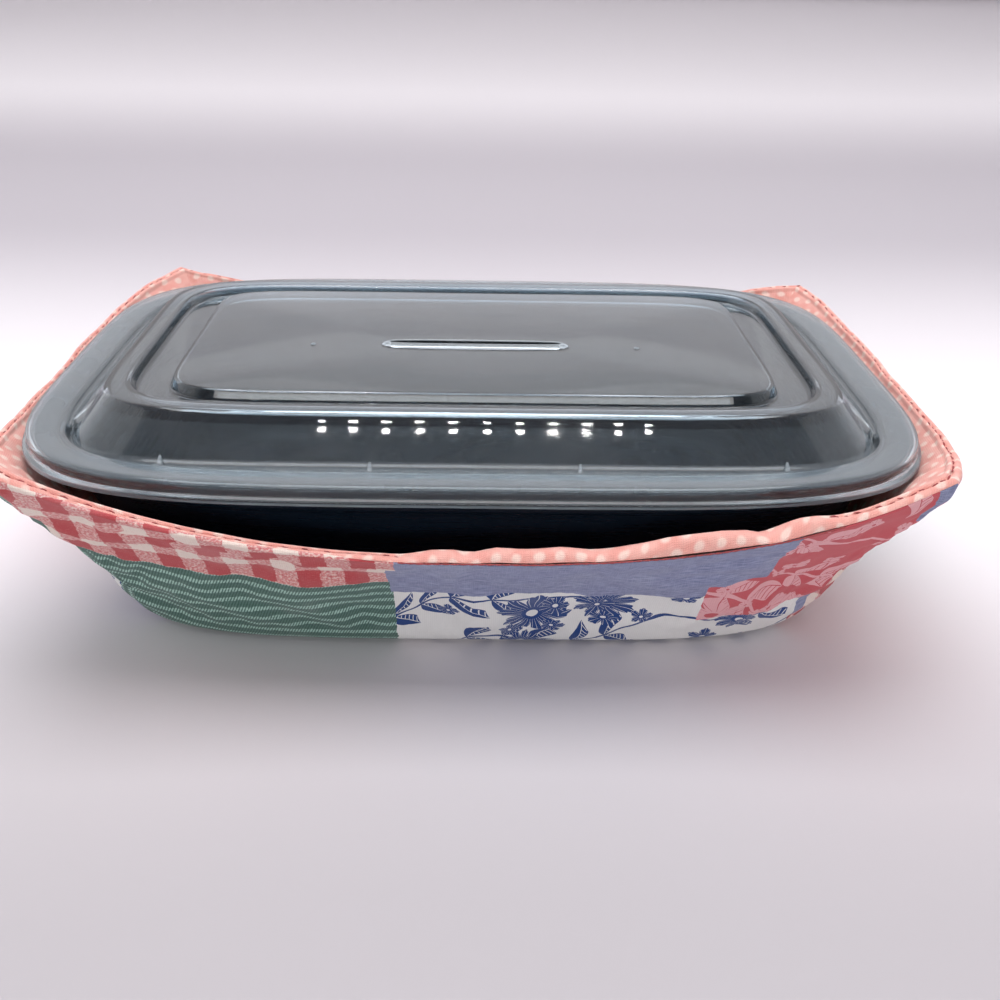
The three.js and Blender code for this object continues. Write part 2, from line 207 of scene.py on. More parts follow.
def lip(places, depth):
    """The cozy's lip, inset by some depth into its thickness."""
    x, y = places[:, 0], places[:, 1]
    corner = corner_values(places)
    long_side = np.abs(y) == 1
    along = np.where(long_side, np.abs(x), np.abs(y))
    end_reach, end_height = np.where(x[:, None] < 0, ENDS["left"], ENDS["right"]).T
    side_bulge = (LIP[1] - corner[:, 1]) * (1 - along**LONG_BULGE_POWER)
    end_bulge = (end_reach - corner[:, 0]) * (1 - along ** corner[:, 4])
    long_height = LONG_LIP_HEIGHT + (corner[:, 2] - LONG_LIP_HEIGHT) * along ** corner[:, 3]
    short_height = end_height + (corner[:, 2] - end_height) * along**SHORT_SAG_POWER
    return np.column_stack([
        (corner[:, 0] + np.where(long_side, 0, end_bulge) - depth) * x,
        (corner[:, 1] + np.where(long_side, side_bulge, 0) - depth) * y,
        np.where(long_side, long_height, short_height),
    ])


def outward(places):
    """The level direction out of the cozy at each station."""
    ring = outline(places, LIP, 0, BASE_POWER)
    run = np.roll(ring, -1, axis=0) - np.roll(ring, 1, axis=0)
    out = np.column_stack([run[:, 1], -run[:, 0], np.zeros(len(run))])
    return out / np.linalg.norm(out, axis=1)[:, None]


def plain_wall(places, depth, share):
    """A ring of the cozy's wall as it is cut, before it settles."""
    round_, foot = BASE_ROUND - depth, ROUND_ANGLES[-1]
    base = outline(places, BASE, round_ * math.sin(foot) - BASE_ROUND, BASE_POWER)
    base_height = depth + round_ * (1 - math.cos(foot))
    top = lip(places, depth)
    cornerness = np.min(np.abs(places), axis=1) ** CORNER_REACH_POWER
    lean = SIDE_LEAN(share) * (1 - cornerness) + CORNER_LEAN(share) * cornerness
    return np.column_stack([
        base + (top[:, :2] - base) * lean[:, None],
        base_height + (top[:, 2] - base_height) * share,
    ])


@functools.cache
def settled_wall():
    """How far the sewn wall moves outwards as it settles, from a simulation of one cloth with a
    little too much fabric in it, held at the base and at the lip: a table of rings by stations."""
    places = stations(SETTLE_STEPS)
    rings = [
        plain_wall(places, LINING_WADDING_DEPTHS[0], share)
        for share in np.linspace(0, 1, SETTLE_RINGS)
    ]
    cloth, levels, spots = loft("settling_wall", rings, ends=False)
    held = cloth.vertex_groups.new(name="held")
    for vertex, ring in enumerate(levels):
        corner = np.abs(places[spots[vertex]]).min() ** 6
        near_lip = ring == SETTLE_RINGS - 2
        fast = 1.0 if ring in (0, SETTLE_RINGS - 1) else 0.55 if near_lip else 0.5 * corner
        held.add([vertex], fast, "REPLACE")
    nothing_selected()
    cloth.select_set(True)
    bpy.context.view_layer.objects.active = cloth
    bpy.ops.object.modifier_add(type="CLOTH")
    settings = cloth.modifiers[0].settings
    settings.quality = 6
    settings.mass = 0.1
    settings.tension_stiffness = settings.compression_stiffness = 12
    settings.shear_stiffness = 4
    settings.bending_stiffness = 0.25
    settings.vertex_group_mass = "held"
    settings.pin_stiffness = 1.0
    settings.shrink_min = settings.shrink_max = -0.03
    settings.use_pressure = True
    settings.uniform_pressure_force = 0.6
    settings.effector_weights.gravity = 0
    cloth.modifiers[0].collision_settings.use_self_collision = False
    scene = bpy.context.scene
    for number in range(1, 26):
        scene.frame_set(number)
    settled = cloth.evaluated_get(bpy.context.evaluated_depsgraph_get())
    moved = np.empty(len(levels) * 3)
    settled.data.vertices.foreach_get("co", moved)
    moved = moved.reshape(-1, 3)
    out = outward(places)
    table = np.zeros((SETTLE_RINGS, len(places)))
    table[levels, spots] = ((moved - np.array(rings)[levels, spots]) * out[spots]).sum(1)
    bpy.data.objects.remove(cloth)
    scene.frame_set(1)
    return np.clip(table, -SETTLE_MOST, 2 * SETTLE_MOST)


def smooth_between(value, low, high):
    """Rises smoothly from 0 to 1 between two values."""
    t = np.clip((value - low) / (high - low), 0, 1)
    return t * t * (3 - 2 * t)


def smooth_curve(a, b, c, d, t):
    """A value between b and c on a smooth curve that also heeds their neighbours."""
    return b + 0.5 * t * (c - a + t * (2 * a - 5 * b + 4 * c - d + t * (3 * (b - c) + d - a)))


def column_of(places):
    """Where each station lies among the columns of the table of the settled wall."""
    x, y = places[:, 0], places[:, 1]
    front, right, back = y == -1, (x == 1) & (y > -1), (y == 1) & (x < 1)
    run = np.select([front, right, back], [x, y, -x], -y)
    steps = np.select([front | back], [SETTLE_STEPS[0]], SETTLE_STEPS[1])
    whole = np.cumsum([0, *[2 * SETTLE_STEPS[i] for i in (0, 1, 0)]])
    start = np.select([front, right, back], whole[:3], whole[3])
    share = np.sign(run) * (1 - (1 - np.abs(run)) ** (1 / CORNER_CROWDING))
    return start + steps * (1 + share)


def hand_sewn(places, share):
    """The soft unevenness of the padded wall, the same for every layer, in metres outwards."""
    table = settled_wall()
    column, row = column_of(places), share * (SETTLE_RINGS - 1)
    left, low = np.floor(column).astype(int), np.floor(row).astype(int)
    rows = [np.clip(low + k, 0, SETTLE_RINGS - 1) for k in (-1, 0, 1, 2)]
    columns = [(left + k) % table.shape[1] for k in (-1, 0, 1, 2)]
    across = [smooth_curve(*(table[r, c] for c in columns), column - left) for r in rows]
    relief = smooth_curve(*across, row - low)
    ring = outline(places, LIP, 0, BASE_POWER)
    waves = np.array([
        noise.noise(Vector((x * 38, y * 38, high * 1.7)))
        + 0.5 * noise.noise(Vector((x * 95, y * 95, high * 3.1)))
        for (x, y), high in zip(ring, share)
    ])
    cornerness = np.min(np.abs(places), axis=1) ** 3
    return relief + 0.0006 * share * waves * (1 - 0.55 * cornerness)


def puffed(places):
    """1 where the lining puffs out over the lip, right of the middle of the front, else 0."""
    x = lip(places, 0)[:, 0]
    right = smooth_between(x, -0.026, -0.004) * (1 - smooth_between(x, 0.072, 0.086))
    return (places[:, 1] == -1) * right


def thinned(places, depth, below):
    """A depth in the wall, some way below the lip, after the seam has pressed the layers."""
    pressed = np.clip(1 - below / SEAM_HEIGHT, 0, 1) ** 1.5
    return depth * (1 - SEAM_THINNING * (1 - puffed(places)) * pressed)


def wall(places, depth, share, below=0.0):
    """A ring of the cozy's settled wall: a share of the way up, or some way below its lip."""
    base_height = depth + (BASE_ROUND - depth) * (1 - math.cos(ROUND_ANGLES[-1]))
    climb = lip(places, depth)[:, 2] - base_height
    share = np.minimum(share, 1 - below / climb)
    pressed = lip(places, thinned(places, depth, (1 - share) * climb)) - lip(places, depth)
    settled = outward(places) * hand_sewn(places, share)[:, None]
    return plain_wall(places, depth, share) + pressed + settled


def base_rings(places, depth):
    """The rings of the flat base and of the rounded edge round it."""
    rings = [
        level(places, BASE, -BASE[1] * inward, depth, BASE_POWER) for inward in (0.9, 0.6, 0.35)
    ]
    round_ = BASE_ROUND - depth
    for angle in ROUND_ANGLES[:-1]:
        out = round_ * math.sin(angle) - BASE_ROUND
        rings.append(level(places, BASE, out, depth + round_ * (1 - math.cos(angle)), BASE_POWER))
    return rings


def layer_face(places, depth, stop, shares=26):
    """One face of a layer from the middle of the base up to where it stops below the lip."""
    rings = base_rings(places, depth)
    rings += [wall(places, depth, share) for share in np.linspace(0, 0.87, shares)]
    drops = [
        drop
        for drop in (0.0046, 0.0038, 0.0030, 0.0023, 0.0017, 0.0012, 0.0008, 0.0004, 0)
        if drop >= stop
    ]
    if stop:
        drops.append(stop)
    return rings + [wall(places, depth, 1, drop) for drop in drops]


def fold_over(places):
    """How far the cover folds inwards over the lip: near the front left, where no lining rolls
    out, and elsewhere not at all."""
    x = lip(places, 0)[:, 0]
    near = (places[:, 1] == -1) * smooth_between(x, -0.101, -0.088) * (
        1 - smooth_between(x, -0.034, -0.022)
    )
    return 0.00006 + 0.0010 * near


def edge(places, depth, rise):
    """A ring on the settled lip, at its own depth and height at each station."""
    ring = lip(places, thinned(places, depth, 0))
    return raised(ring, rise) + outward(places) * hand_sewn(places, np.ones(len(places)))[:, None]


def perimeter(places):
    """How far along the lip each station is, and how long the whole lip is."""
    ring = lip(places, 0)
    steps = np.linalg.norm(np.roll(ring, -1, axis=0) - ring, axis=1)
    return np.concatenate([[0], np.cumsum(steps)[:-1]]), steps.sum()


# ---------------------------------------------------------------------------------------------
# Modelling
# ---------------------------------------------------------------------------------------------


def nothing_selected():
    if bpy.context.object and bpy.context.object.mode != "OBJECT":
        bpy.ops.object.mode_set(mode="OBJECT")
    bpy.ops.object.select_all(action="DESELECT")


def loft(name, rings, loop=False, ends=True):
    """A skin over a stack of rings: a circle is extruded once for each ring, and then the rings
    get their own outlines. The two ends are filled, or joined if the stack is a loop."""
    if loop:
        rings = [*rings, rings[0]]
    around = len(rings[0])
    nothing_selected()
    bpy.ops.mesh.primitive_circle_add(vertices=around, radius=1, fill_type="NOTHING")
    piece = bpy.context.object
    piece.name = piece.data.name = name
    bpy.ops.object.mode_set(mode="EDIT")
    bpy.ops.mesh.select_mode(type="VERT")
    bpy.ops.mesh.select_all(action="SELECT")
    for _ in rings[1:]:
        bpy.ops.mesh.extrude_region_move(TRANSFORM_OT_translate={"value": (0, 0, 1)})
    bpy.ops.object.mode_set(mode="OBJECT")
    places = np.empty(len(piece.data.vertices) * 3)
    piece.data.vertices.foreach_get("co", places)
    places = places.reshape(-1, 3)
    levels = np.rint(places[:, 2]).astype(int)
    turns = np.arctan2(places[:, 1], places[:, 0]) / (2 * math.pi)
    first = turns[levels == 0].min()
    spots = np.rint((turns - first) * around).astype(int) % around
    stack = np.array(rings)
    piece.data.vertices.foreach_set("co", stack[levels, spots].ravel())
    piece.data.update()
    if ends and not loop:
        for end in (0, len(rings) - 1):
            fill_ring(piece, np.flatnonzero(levels == end))
    clean(piece)
    return piece, levels, spots


def fill_ring(piece, vertices):
    """Fills one end of a skin with a face."""
    for vertex in piece.data.vertices:
        vertex.select = False
    for edge in piece.data.edges:
        edge.select = False
    for face in piece.data.polygons:
        face.select = False
    for vertex in vertices:
        piece.data.vertices[vertex].select = True
    bpy.ops.object.mode_set(mode="EDIT")
    bpy.ops.mesh.edge_face_add()
    bpy.ops.object.mode_set(mode="OBJECT")


def clean(piece):
    """Merges doubled points and turns all faces outwards."""
    bpy.context.view_layer.objects.active = piece
    piece.select_set(True)
    bpy.ops.object.mode_set(mode="EDIT")
    bpy.ops.mesh.select_all(action="SELECT")
    bpy.ops.mesh.remove_doubles(threshold=1e-7)
    bpy.ops.mesh.normals_make_consistent(inside=False)
    bpy.ops.object.mode_set(mode="OBJECT")


def smooth(piece, degrees=40):
    nothing_selected()
    piece.select_set(True)
    bpy.context.view_layer.objects.active = piece
    bpy.ops.object.shade_smooth_by_angle(angle=math.radians(degrees))


def join(pieces, name):
    nothing_selected()
    for piece in pieces:
        piece.select_set(True)
    bpy.context.view_layer.objects.active = pieces[0]
    bpy.ops.object.join()
    piece = bpy.context.object
    piece.name = piece.data.name = name
    return piece


def lay_flat(piece, levels, spots, rings, places):
    """Maps the sewn cloth back to the flat cut, in metres: the base keeps its place, and each
    wall is laid out from its own edge of the base, so that the corners are where it is cut."""
    stack = np.array(rings)
    steps = np.linalg.norm(np.diff(stack, axis=0), axis=2)
    climb = np.concatenate([np.zeros((1, stack.shape[1])), np.cumsum(steps, axis=0)])
    start = len(base_rings(places, 0)) - len(ROUND_ANGLES) + 1
    climb = np.maximum(climb - climb[start], 0)
    edge = stack[start]
    corners = np.flatnonzero(np.abs(places).min(axis=1) == 1)
    uv = piece.data.uv_layers.new(name="cloth")
    for face in piece.data.polygons:
        ids = [piece.data.loops[i].vertex_index for i in face.loop_indices]
        faces_spots = spots[ids]
        if len(ids) > 4:
            side = None
        else:
            low, high = faces_spots.min(), faces_spots.max()
            at = high if high - low > 1 else low
            side = int(np.searchsorted(corners, at, side="right")) - 1
        for loop, vertex in zip(face.loop_indices, ids):
            ring, spot = levels[vertex], spots[vertex]
            x, y = stack[ring, spot, :2]
            far = climb[ring, spot]
            if side is None or ring <= start:
                flat = (x, y)
            elif side == 0:
                flat = (x, edge[spot, 1] - far)
            elif side == 1:
                flat = (edge[spot, 0] + far, y)
            elif side == 2:
                flat = (x, edge[spot, 1] + far)
            else:
                flat = (edge[spot, 0] - far, y)
            uv.data[loop].uv = flat
    return uv


# ---------------------------------------------------------------------------------------------
# Material building
# ---------------------------------------------------------------------------------------------


class Nodes:
    """Adds nodes to a tree and links them, left to right."""

    def __init__(self, tree):
        self.tree = tree
        self.column = 0

    def add(self, kind, inputs=None, **settings):
        node = self.tree.nodes.new(kind)
        node.location = (self.column * 180, 0)
        self.column += 1
        for name, value in settings.items():
            setattr(node, name, value)
        for name, value in (inputs or {}).items():
            self.set(node.inputs[name], value)
        return node

    def set(self, socket, value):
        if isinstance(value, bpy.types.NodeSocket):
            self.tree.links.new(value, socket)
        elif value is not None:
            socket.default_value = value

    def math(self, operation, *values):
        node = self.add("ShaderNodeMath", operation=operation)
        for i, value in enumerate(values):
            self.set(node.inputs[i], value)
        return node.outputs[0]

    def vector(self, operation, *values, out="Vector"):
        node = self.add("ShaderNodeVectorMath", operation=operation)
        for i, value in enumerate(values):
            self.set(node.inputs[i], value)
        return node.outputs[out]

    def times(self, a, b):
        return self.math("MULTIPLY", a, b)

    def plus(self, a, b):
        return self.math("ADD", a, b)

    def minus(self, a, b):
        return self.math("SUBTRACT", a, b)

    def over(self, a, b):
        return self.math("DIVIDE", a, b)

    def size(self, a):
        return self.math("ABSOLUTE", a)

    def most(self, a, b):
        return self.math("MAXIMUM", a, b)

    def mix(self, factor, a, b):
        return self.blend("MIX", factor, a, b)

    def blend(self, kind, factor, a, b):
        node = self.add("ShaderNodeMix", data_type="RGBA", blend_type=kind)
        self.set(node.inputs[0], factor)
        self.set(node.inputs[6], a)
        self.set(node.inputs[7], b)
        return node.outputs[2]

    def lerp(self, factor, a, b):
        node = self.add("ShaderNodeMix", data_type="FLOAT")
        self.set(node.inputs[0], factor)
        self.set(node.inputs[2], a)
        self.set(node.inputs[3], b)
        return node.outputs[0]

    def parts(self, vector):
        node = self.add("ShaderNodeSeparateXYZ", {"Vector": vector})
        return node.outputs["X"], node.outputs["Y"], node.outputs["Z"]

    def point(self, x, y, z=0.0):
        return self.add("ShaderNodeCombineXYZ", {"X": x, "Y": y, "Z": z}).outputs[0]

    def noise(self, vector, scale, detail=2.0, roughness=0.5, out="Fac"):
        node = self.add(
            "ShaderNodeTexNoise",
            {"Vector": vector, "Scale": scale, "Detail": detail, "Roughness": roughness},
        )
        return node.outputs[out]

    def smooth_step(self, value, low, high):
        node = self.add(
            "ShaderNodeMapRange",
            {"Value": value, "From Min": low, "From Max": high},
            interpolation_type="SMOOTHSTEP",
        )
        return node.outputs["Result"]

    def bump(self, strength, distance, height, normal=None):
        inputs = {"Strength": strength, "Distance": distance, "Height": height, "Normal": normal}
        return self.add("ShaderNodeBump", inputs).outputs[0]

    def grey(self, value):
        inputs = {"Red": value, "Green": value, "Blue": value}
        return self.add("ShaderNodeCombineColor", inputs).outputs[0]

    def place(self):
        return self.add("ShaderNodeTexCoord").outputs["Object"]

    def group(self, group, inputs, out=0):
        node = self.add("ShaderNodeGroup", node_tree=group)
        for name, value in inputs.items():
            self.set(node.inputs[name], value)
        return node.outputs[out]


def new_group(name, inputs, outputs):
    """A node group with sockets of given kinds and defaults, and the helper that fills it."""
    tree = bpy.data.node_groups.new(name, "ShaderNodeTree")
    kinds = {"value": "NodeSocketFloat", "vector": "NodeSocketVector", "colour": "NodeSocketColor"}
    for label, (kind, default) in inputs.items():
        socket = tree.interface.new_socket(label, in_out="INPUT", socket_type=kinds[kind])
        if default is not None:
            socket.default_value = default
    for label, kind in outputs.items():
        tree.interface.new_socket(label, in_out="OUTPUT", socket_type=kinds[kind])
    nodes = Nodes(tree)
    given = nodes.add("NodeGroupInput").outputs
    return tree, nodes, given


def close_group(nodes, results):
    end = nodes.add("NodeGroupOutput")
    for label, value in results.items():
        nodes.set(end.inputs[label], value)


def new_material(name):
    material = bpy.data.materials.new(name)
    material.use_nodes = True
    tree = material.node_tree
    tree.nodes.clear()
    nodes = Nodes(tree)
    shader = nodes.add("ShaderNodeBsdfPrincipled")
    end = nodes.add("ShaderNodeOutputMaterial")
    tree.links.new(shader.outputs["BSDF"], end.inputs["Surface"])
    return material, nodes, shader


def weave_group():
    """Plain weave: the height of crossing threads, and how shaded each place is."""
    tree, n, given = new_group(
        "Weave",
        {"Cloth": ("vector", None), "Thread": ("value", 0.0005)},
        {"Height": "value", "Shade": "value"},
    )
    x, y, _ = n.parts(
        n.vector("DIVIDE", given["Cloth"], n.point(given["Thread"], given["Thread"], 1.0))
    )
    warp = n.times(n.math("SINE", n.times(x, math.pi)), n.math("COSINE", n.times(y, math.pi)))
    threads = n.size(warp)
    slub = n.noise(n.vector("MULTIPLY", given["Cloth"], (900.0, 260.0, 1.0)), 1.0, 2.0)
    height = n.plus(n.times(threads, 0.6), n.times(slub, 0.6))
    shade = n.plus(0.92, n.times(height, 0.13))
    close_group(n, {"Height": height, "Shade": shade})
    return tree


def patch_group():
    """1 inside a rectangle of the print, and 0 outside it."""
    tree, n, given = new_group(
        "Patch of the print",
        {
            "Cloth": ("vector", None),
            "Middle": ("vector", (0, 0, 0)),
            "Half size": ("vector", (1, 1, 1)),
        },
        {"Inside": "value"},
    )
    gap = n.vector(
        "SUBTRACT",
        n.vector("ABSOLUTE", n.vector("SUBTRACT", given["Cloth"], given["Middle"])),
        given["Half size"],
    )
    x, y, _ = n.parts(gap)
    close_group(n, {"Inside": n.math("LESS_THAN", n.most(x, y), 0.0)})
    return tree


def gingham_group():
    """Woven check: two sets of stripes, and how many of the two cover each place, from 0 to 2."""
    tree, n, given = new_group(
        "Gingham check",
        {"Cloth": ("vector", None), "Period": ("value", 0.0107)},
        {"Layers": "value"},
    )
    moved = n.vector("ADD", given["Cloth"], (0.0, -0.0018, 0.0))
    x, y, _ = n.parts(
        n.vector("DIVIDE", moved, n.point(given["Period"], n.times(given["Period"], 1.05), 1.0))
    )
    rough = n.times(n.minus(n.noise(given["Cloth"], 900.0, 1.0), 0.5), 0.10)
    stripes = []
    for value, start in ((x, 0.235), (y, 0.19)):
        wave = n.math("PINGPONG", n.plus(value, rough), 0.5)
        stripes.append(n.smooth_step(wave, start, start + 0.03))
    close_group(n, {"Layers": n.plus(*stripes)})
    return tree


def twill_group():
    """Narrow stripes of slanting twill: which stripe it is, and its slanting threads."""
    tree, n, given = new_group(
        "Twill stripe",
        {"Cloth": ("vector", None), "Period": ("value", 0.0037), "Thread": ("value", 0.00072)},
        {"Light": "value", "Height": "value"},
    )
    wander = n.times(
        n.noise(n.vector("MULTIPLY", given["Cloth"], (18.0, 3.0, 1.0)), 1.0, 1.0), 0.0004
    )
    x, y, _ = n.parts(given["Cloth"])
    y = n.plus(y, wander)
    stripe = n.math("PINGPONG", n.over(y, given["Period"]), 0.5)
    slant = n.math("PINGPONG", n.over(n.plus(x, n.times(y, 0.4)), given["Thread"]), 0.5)
    broken = n.times(n.minus(n.noise(given["Cloth"], 1100.0, 1.0), 0.5), 0.5)
    band = n.smooth_step(n.plus(stripe, n.times(broken, 0.3)), 0.24, 0.38)
    threads = n.smooth_step(n.plus(slant, broken), 0.12, 0.36)
    light = n.times(band, n.plus(n.times(threads, 0.8), 0.12))
    light = n.plus(light, n.times(threads, 0.15))
    close_group(n, {"Light": light, "Height": slant})
    return tree


def vine_group():
    """Rows of a winding stem with paired leaves: where it is printed, and the leaves' veins."""
    tree, n, given = new_group(
        "Leafy vine",
        {
            "Cloth": ("vector", None),
            "Row": ("value", 0.019),
            "Leaf pitch": ("value", 0.0085),
            "Leaf length": ("value", 0.0062),
            "Leaf width": ("value", 0.0017),
            "Stem": ("value", 0.00032),
        },
        {"Printed": "value", "Veins": "value"},
    )
    x, y, _ = n.parts(given["Cloth"])
    row = n.math("FLOOR", n.over(y, given["Row"]))
    shift = n.times(n.math("SINE", n.times(row, 12.99)), 0.031)
    x = n.plus(x, shift)
    bend = n.times(n.math("SINE", n.times(x, 2 * math.pi / 0.047)), 0.0035)
    wobble = n.times(n.minus(n.noise(given["Cloth"], 60.0, 1.0), 0.5), 0.006)
    across = n.minus(y, n.times(n.plus(row, 0.5), given["Row"]))
    across = n.plus(n.minus(across, bend), wobble)
    stem = n.math("LESS_THAN", n.size(across), given["Stem"])
    step = n.math("FLOOR", n.over(x, given["Leaf pitch"]))
    along = n.minus(x, n.times(n.plus(step, 0.5), given["Leaf pitch"]))
    lean = n.times(n.size(across), 0.75)
    along = n.minus(along, n.minus(lean, 0.002))
    reach = n.over(n.size(across), given["Leaf length"])
    inside = n.minus(1.0, n.math("POWER", n.minus(n.times(reach, 2.0), 1.0), 2.0))
    half = n.times(n.most(inside, 0.0), given["Leaf width"])
    leaf = n.math("LESS_THAN", n.size(along), half)
    kept = n.math(
        "GREATER_THAN", n.math("SINE", n.plus(n.times(step, 7.13), n.times(row, 3.7))), -0.35
    )
    leaf = n.times(leaf, kept)
    inner = n.math("LESS_THAN", n.size(along), n.minus(half, 0.00035))
    vein = n.math("LESS_THAN", n.size(along), 0.00013)
    rib = n.math("LESS_THAN", n.math("PINGPONG", n.plus(n.size(across), along), 0.0006), 0.00012)
    rib = n.times(rib, n.math("GREATER_THAN", along, 0.0))
    veins = n.times(n.most(vein, rib), inner)
    close_group(n, {"Printed": n.most(stem, leaf), "Veins": veins})
    return tree


def blossom_group():
    """Scattered blossoms, one to a cell and each turned its own way: where they are printed,
    the fine lines drawn in their petals, and the eye."""
    tree, n, given = new_group(
        "Blossoms",
        {
            "Cloth": ("vector", None),
            "Cells": ("value", 42.0),
            "Size": ("value", 0.0075),
            "Petals": ("value", 5.0),
            "Share": ("value", 0.8),
        },
        {"Printed": "value", "Lines": "value", "Eye": "value"},
    )
    cells = n.add(
        "ShaderNodeTexVoronoi",
        {"Vector": given["Cloth"], "Scale": given["Cells"], "Randomness": 0.7},
        voronoi_dimensions="2D",
    )
    middle = cells.outputs["Position"]
    fate, turn, _ = n.parts(cells.outputs["Color"])
    x, y, _ = n.parts(n.vector("SUBTRACT", given["Cloth"], middle))
    angle = n.plus(n.math("ARCTAN2", y, x), n.times(turn, 2 * math.pi))
    far = n.math("SQRT", n.plus(n.times(x, x), n.times(y, y)))
    lobe = n.size(n.math("COSINE", n.times(angle, n.times(given["Petals"], 0.5))))
    notch = n.times(n.size(n.math("COSINE", n.times(angle, n.times(given["Petals"], 1.5)))), 0.12)
    edge = n.plus(n.plus(0.42, n.times(n.math("POWER", lobe, 0.7), 0.5)), notch)
    size = n.times(given["Size"], n.plus(0.6, n.times(turn, 0.55)))
    share = n.over(far, size)
    here = n.times(n.math("LESS_THAN", share, edge), n.math("LESS_THAN", fate, given["Share"]))
    spokes = n.math(
        "LESS_THAN", n.math("PINGPONG", n.times(angle, n.times(given["Petals"], 0.48)), 0.5), 0.045
    )
    lines = n.times(n.times(spokes, n.math("GREATER_THAN", share, 0.3)), here)
    eye = n.times(n.math("LESS_THAN", share, 0.17), here)
    close_group(n, {"Printed": here, "Lines": lines, "Eye": eye})
    return tree


def dots_group():
    """Soft round dots in staggered rows, a little uneven, as a faded print has them."""
    tree, n, given = new_group(
        "Dots",
        {"Cloth": ("vector", None), "Pitch": ("value", 0.0046), "Radius": ("value", 0.00108)},
        {"Dot": "value"},
    )
    wander = n.vector("SUBTRACT", n.noise(given["Cloth"], 160.0, 1.0, out="Color"), (0.5, 0.5, 0.5))
    place = n.vector("ADD", given["Cloth"], n.vector("MULTIPLY", wander, (0.0022, 0.0022, 0.0)))
    x, y, _ = n.parts(
        n.vector("DIVIDE", place, n.point(given["Pitch"], n.times(given["Pitch"], 0.87), 1.0))
    )
    row = n.math("FLOOR", y)
    x = n.plus(x, n.times(n.math("FLOORED_MODULO", row, 2.0), 0.5))
    near_x = n.times(n.minus(n.math("FRACT", x), 0.5), given["Pitch"])
    near_y = n.times(n.minus(n.math("FRACT", y), 0.5), n.times(given["Pitch"], 0.87))
    far = n.math("SQRT", n.plus(n.times(near_x, near_x), n.times(near_y, near_y)))
    soft = n.times(given["Radius"], 0.42)
    dot = n.minus(
        1.0, n.smooth_step(far, n.minus(given["Radius"], soft), n.plus(given["Radius"], soft))
    )
    close_group(n, {"Dot": dot})
    return tree


# The print's patches on the flat cut: kind, left, right, front and back edge, in metres. Later
# ones lie over earlier ones.
PATCHES = (
    ("stripe", -0.170, -0.019, -0.0905, -0.050),
    ("blue floral", -0.019, 0.082, -0.088, -0.046),
    ("gingham", -0.170, -0.020, -0.135, -0.0903),
    ("chambray", -0.0195, 0.069, -0.135, -0.0844),
    ("red floral", 0.069, 0.098, -0.135, -0.072),
    ("red floral", 0.055, 0.078, -0.0895, -0.073),
    ("red floral", 0.097, 0.170, -0.109, -0.060),
    ("gingham", 0.082, 0.170, -0.060, -0.022),
    ("stripe", 0.078, 0.170, -0.022, 0.020),
    ("blue floral", 0.070, 0.170, 0.020, 0.064),
    ("chambray", 0.050, 0.120, 0.064, 0.100),
    ("red floral", 0.010, 0.050, 0.050, 0.135),
    ("gingham", -0.050, 0.010, 0.076, 0.135),
    ("stripe", 0.050, 0.120, 0.090, 0.135),
    ("blue floral", -0.100, -0.050, 0.046, 0.135),
    ("chambray", -0.170, -0.100, 0.030, 0.135),
    ("red floral", -0.170, -0.086, -0.010, 0.030),
    ("blue floral", -0.170, -0.096, -0.050, -0.010),
)


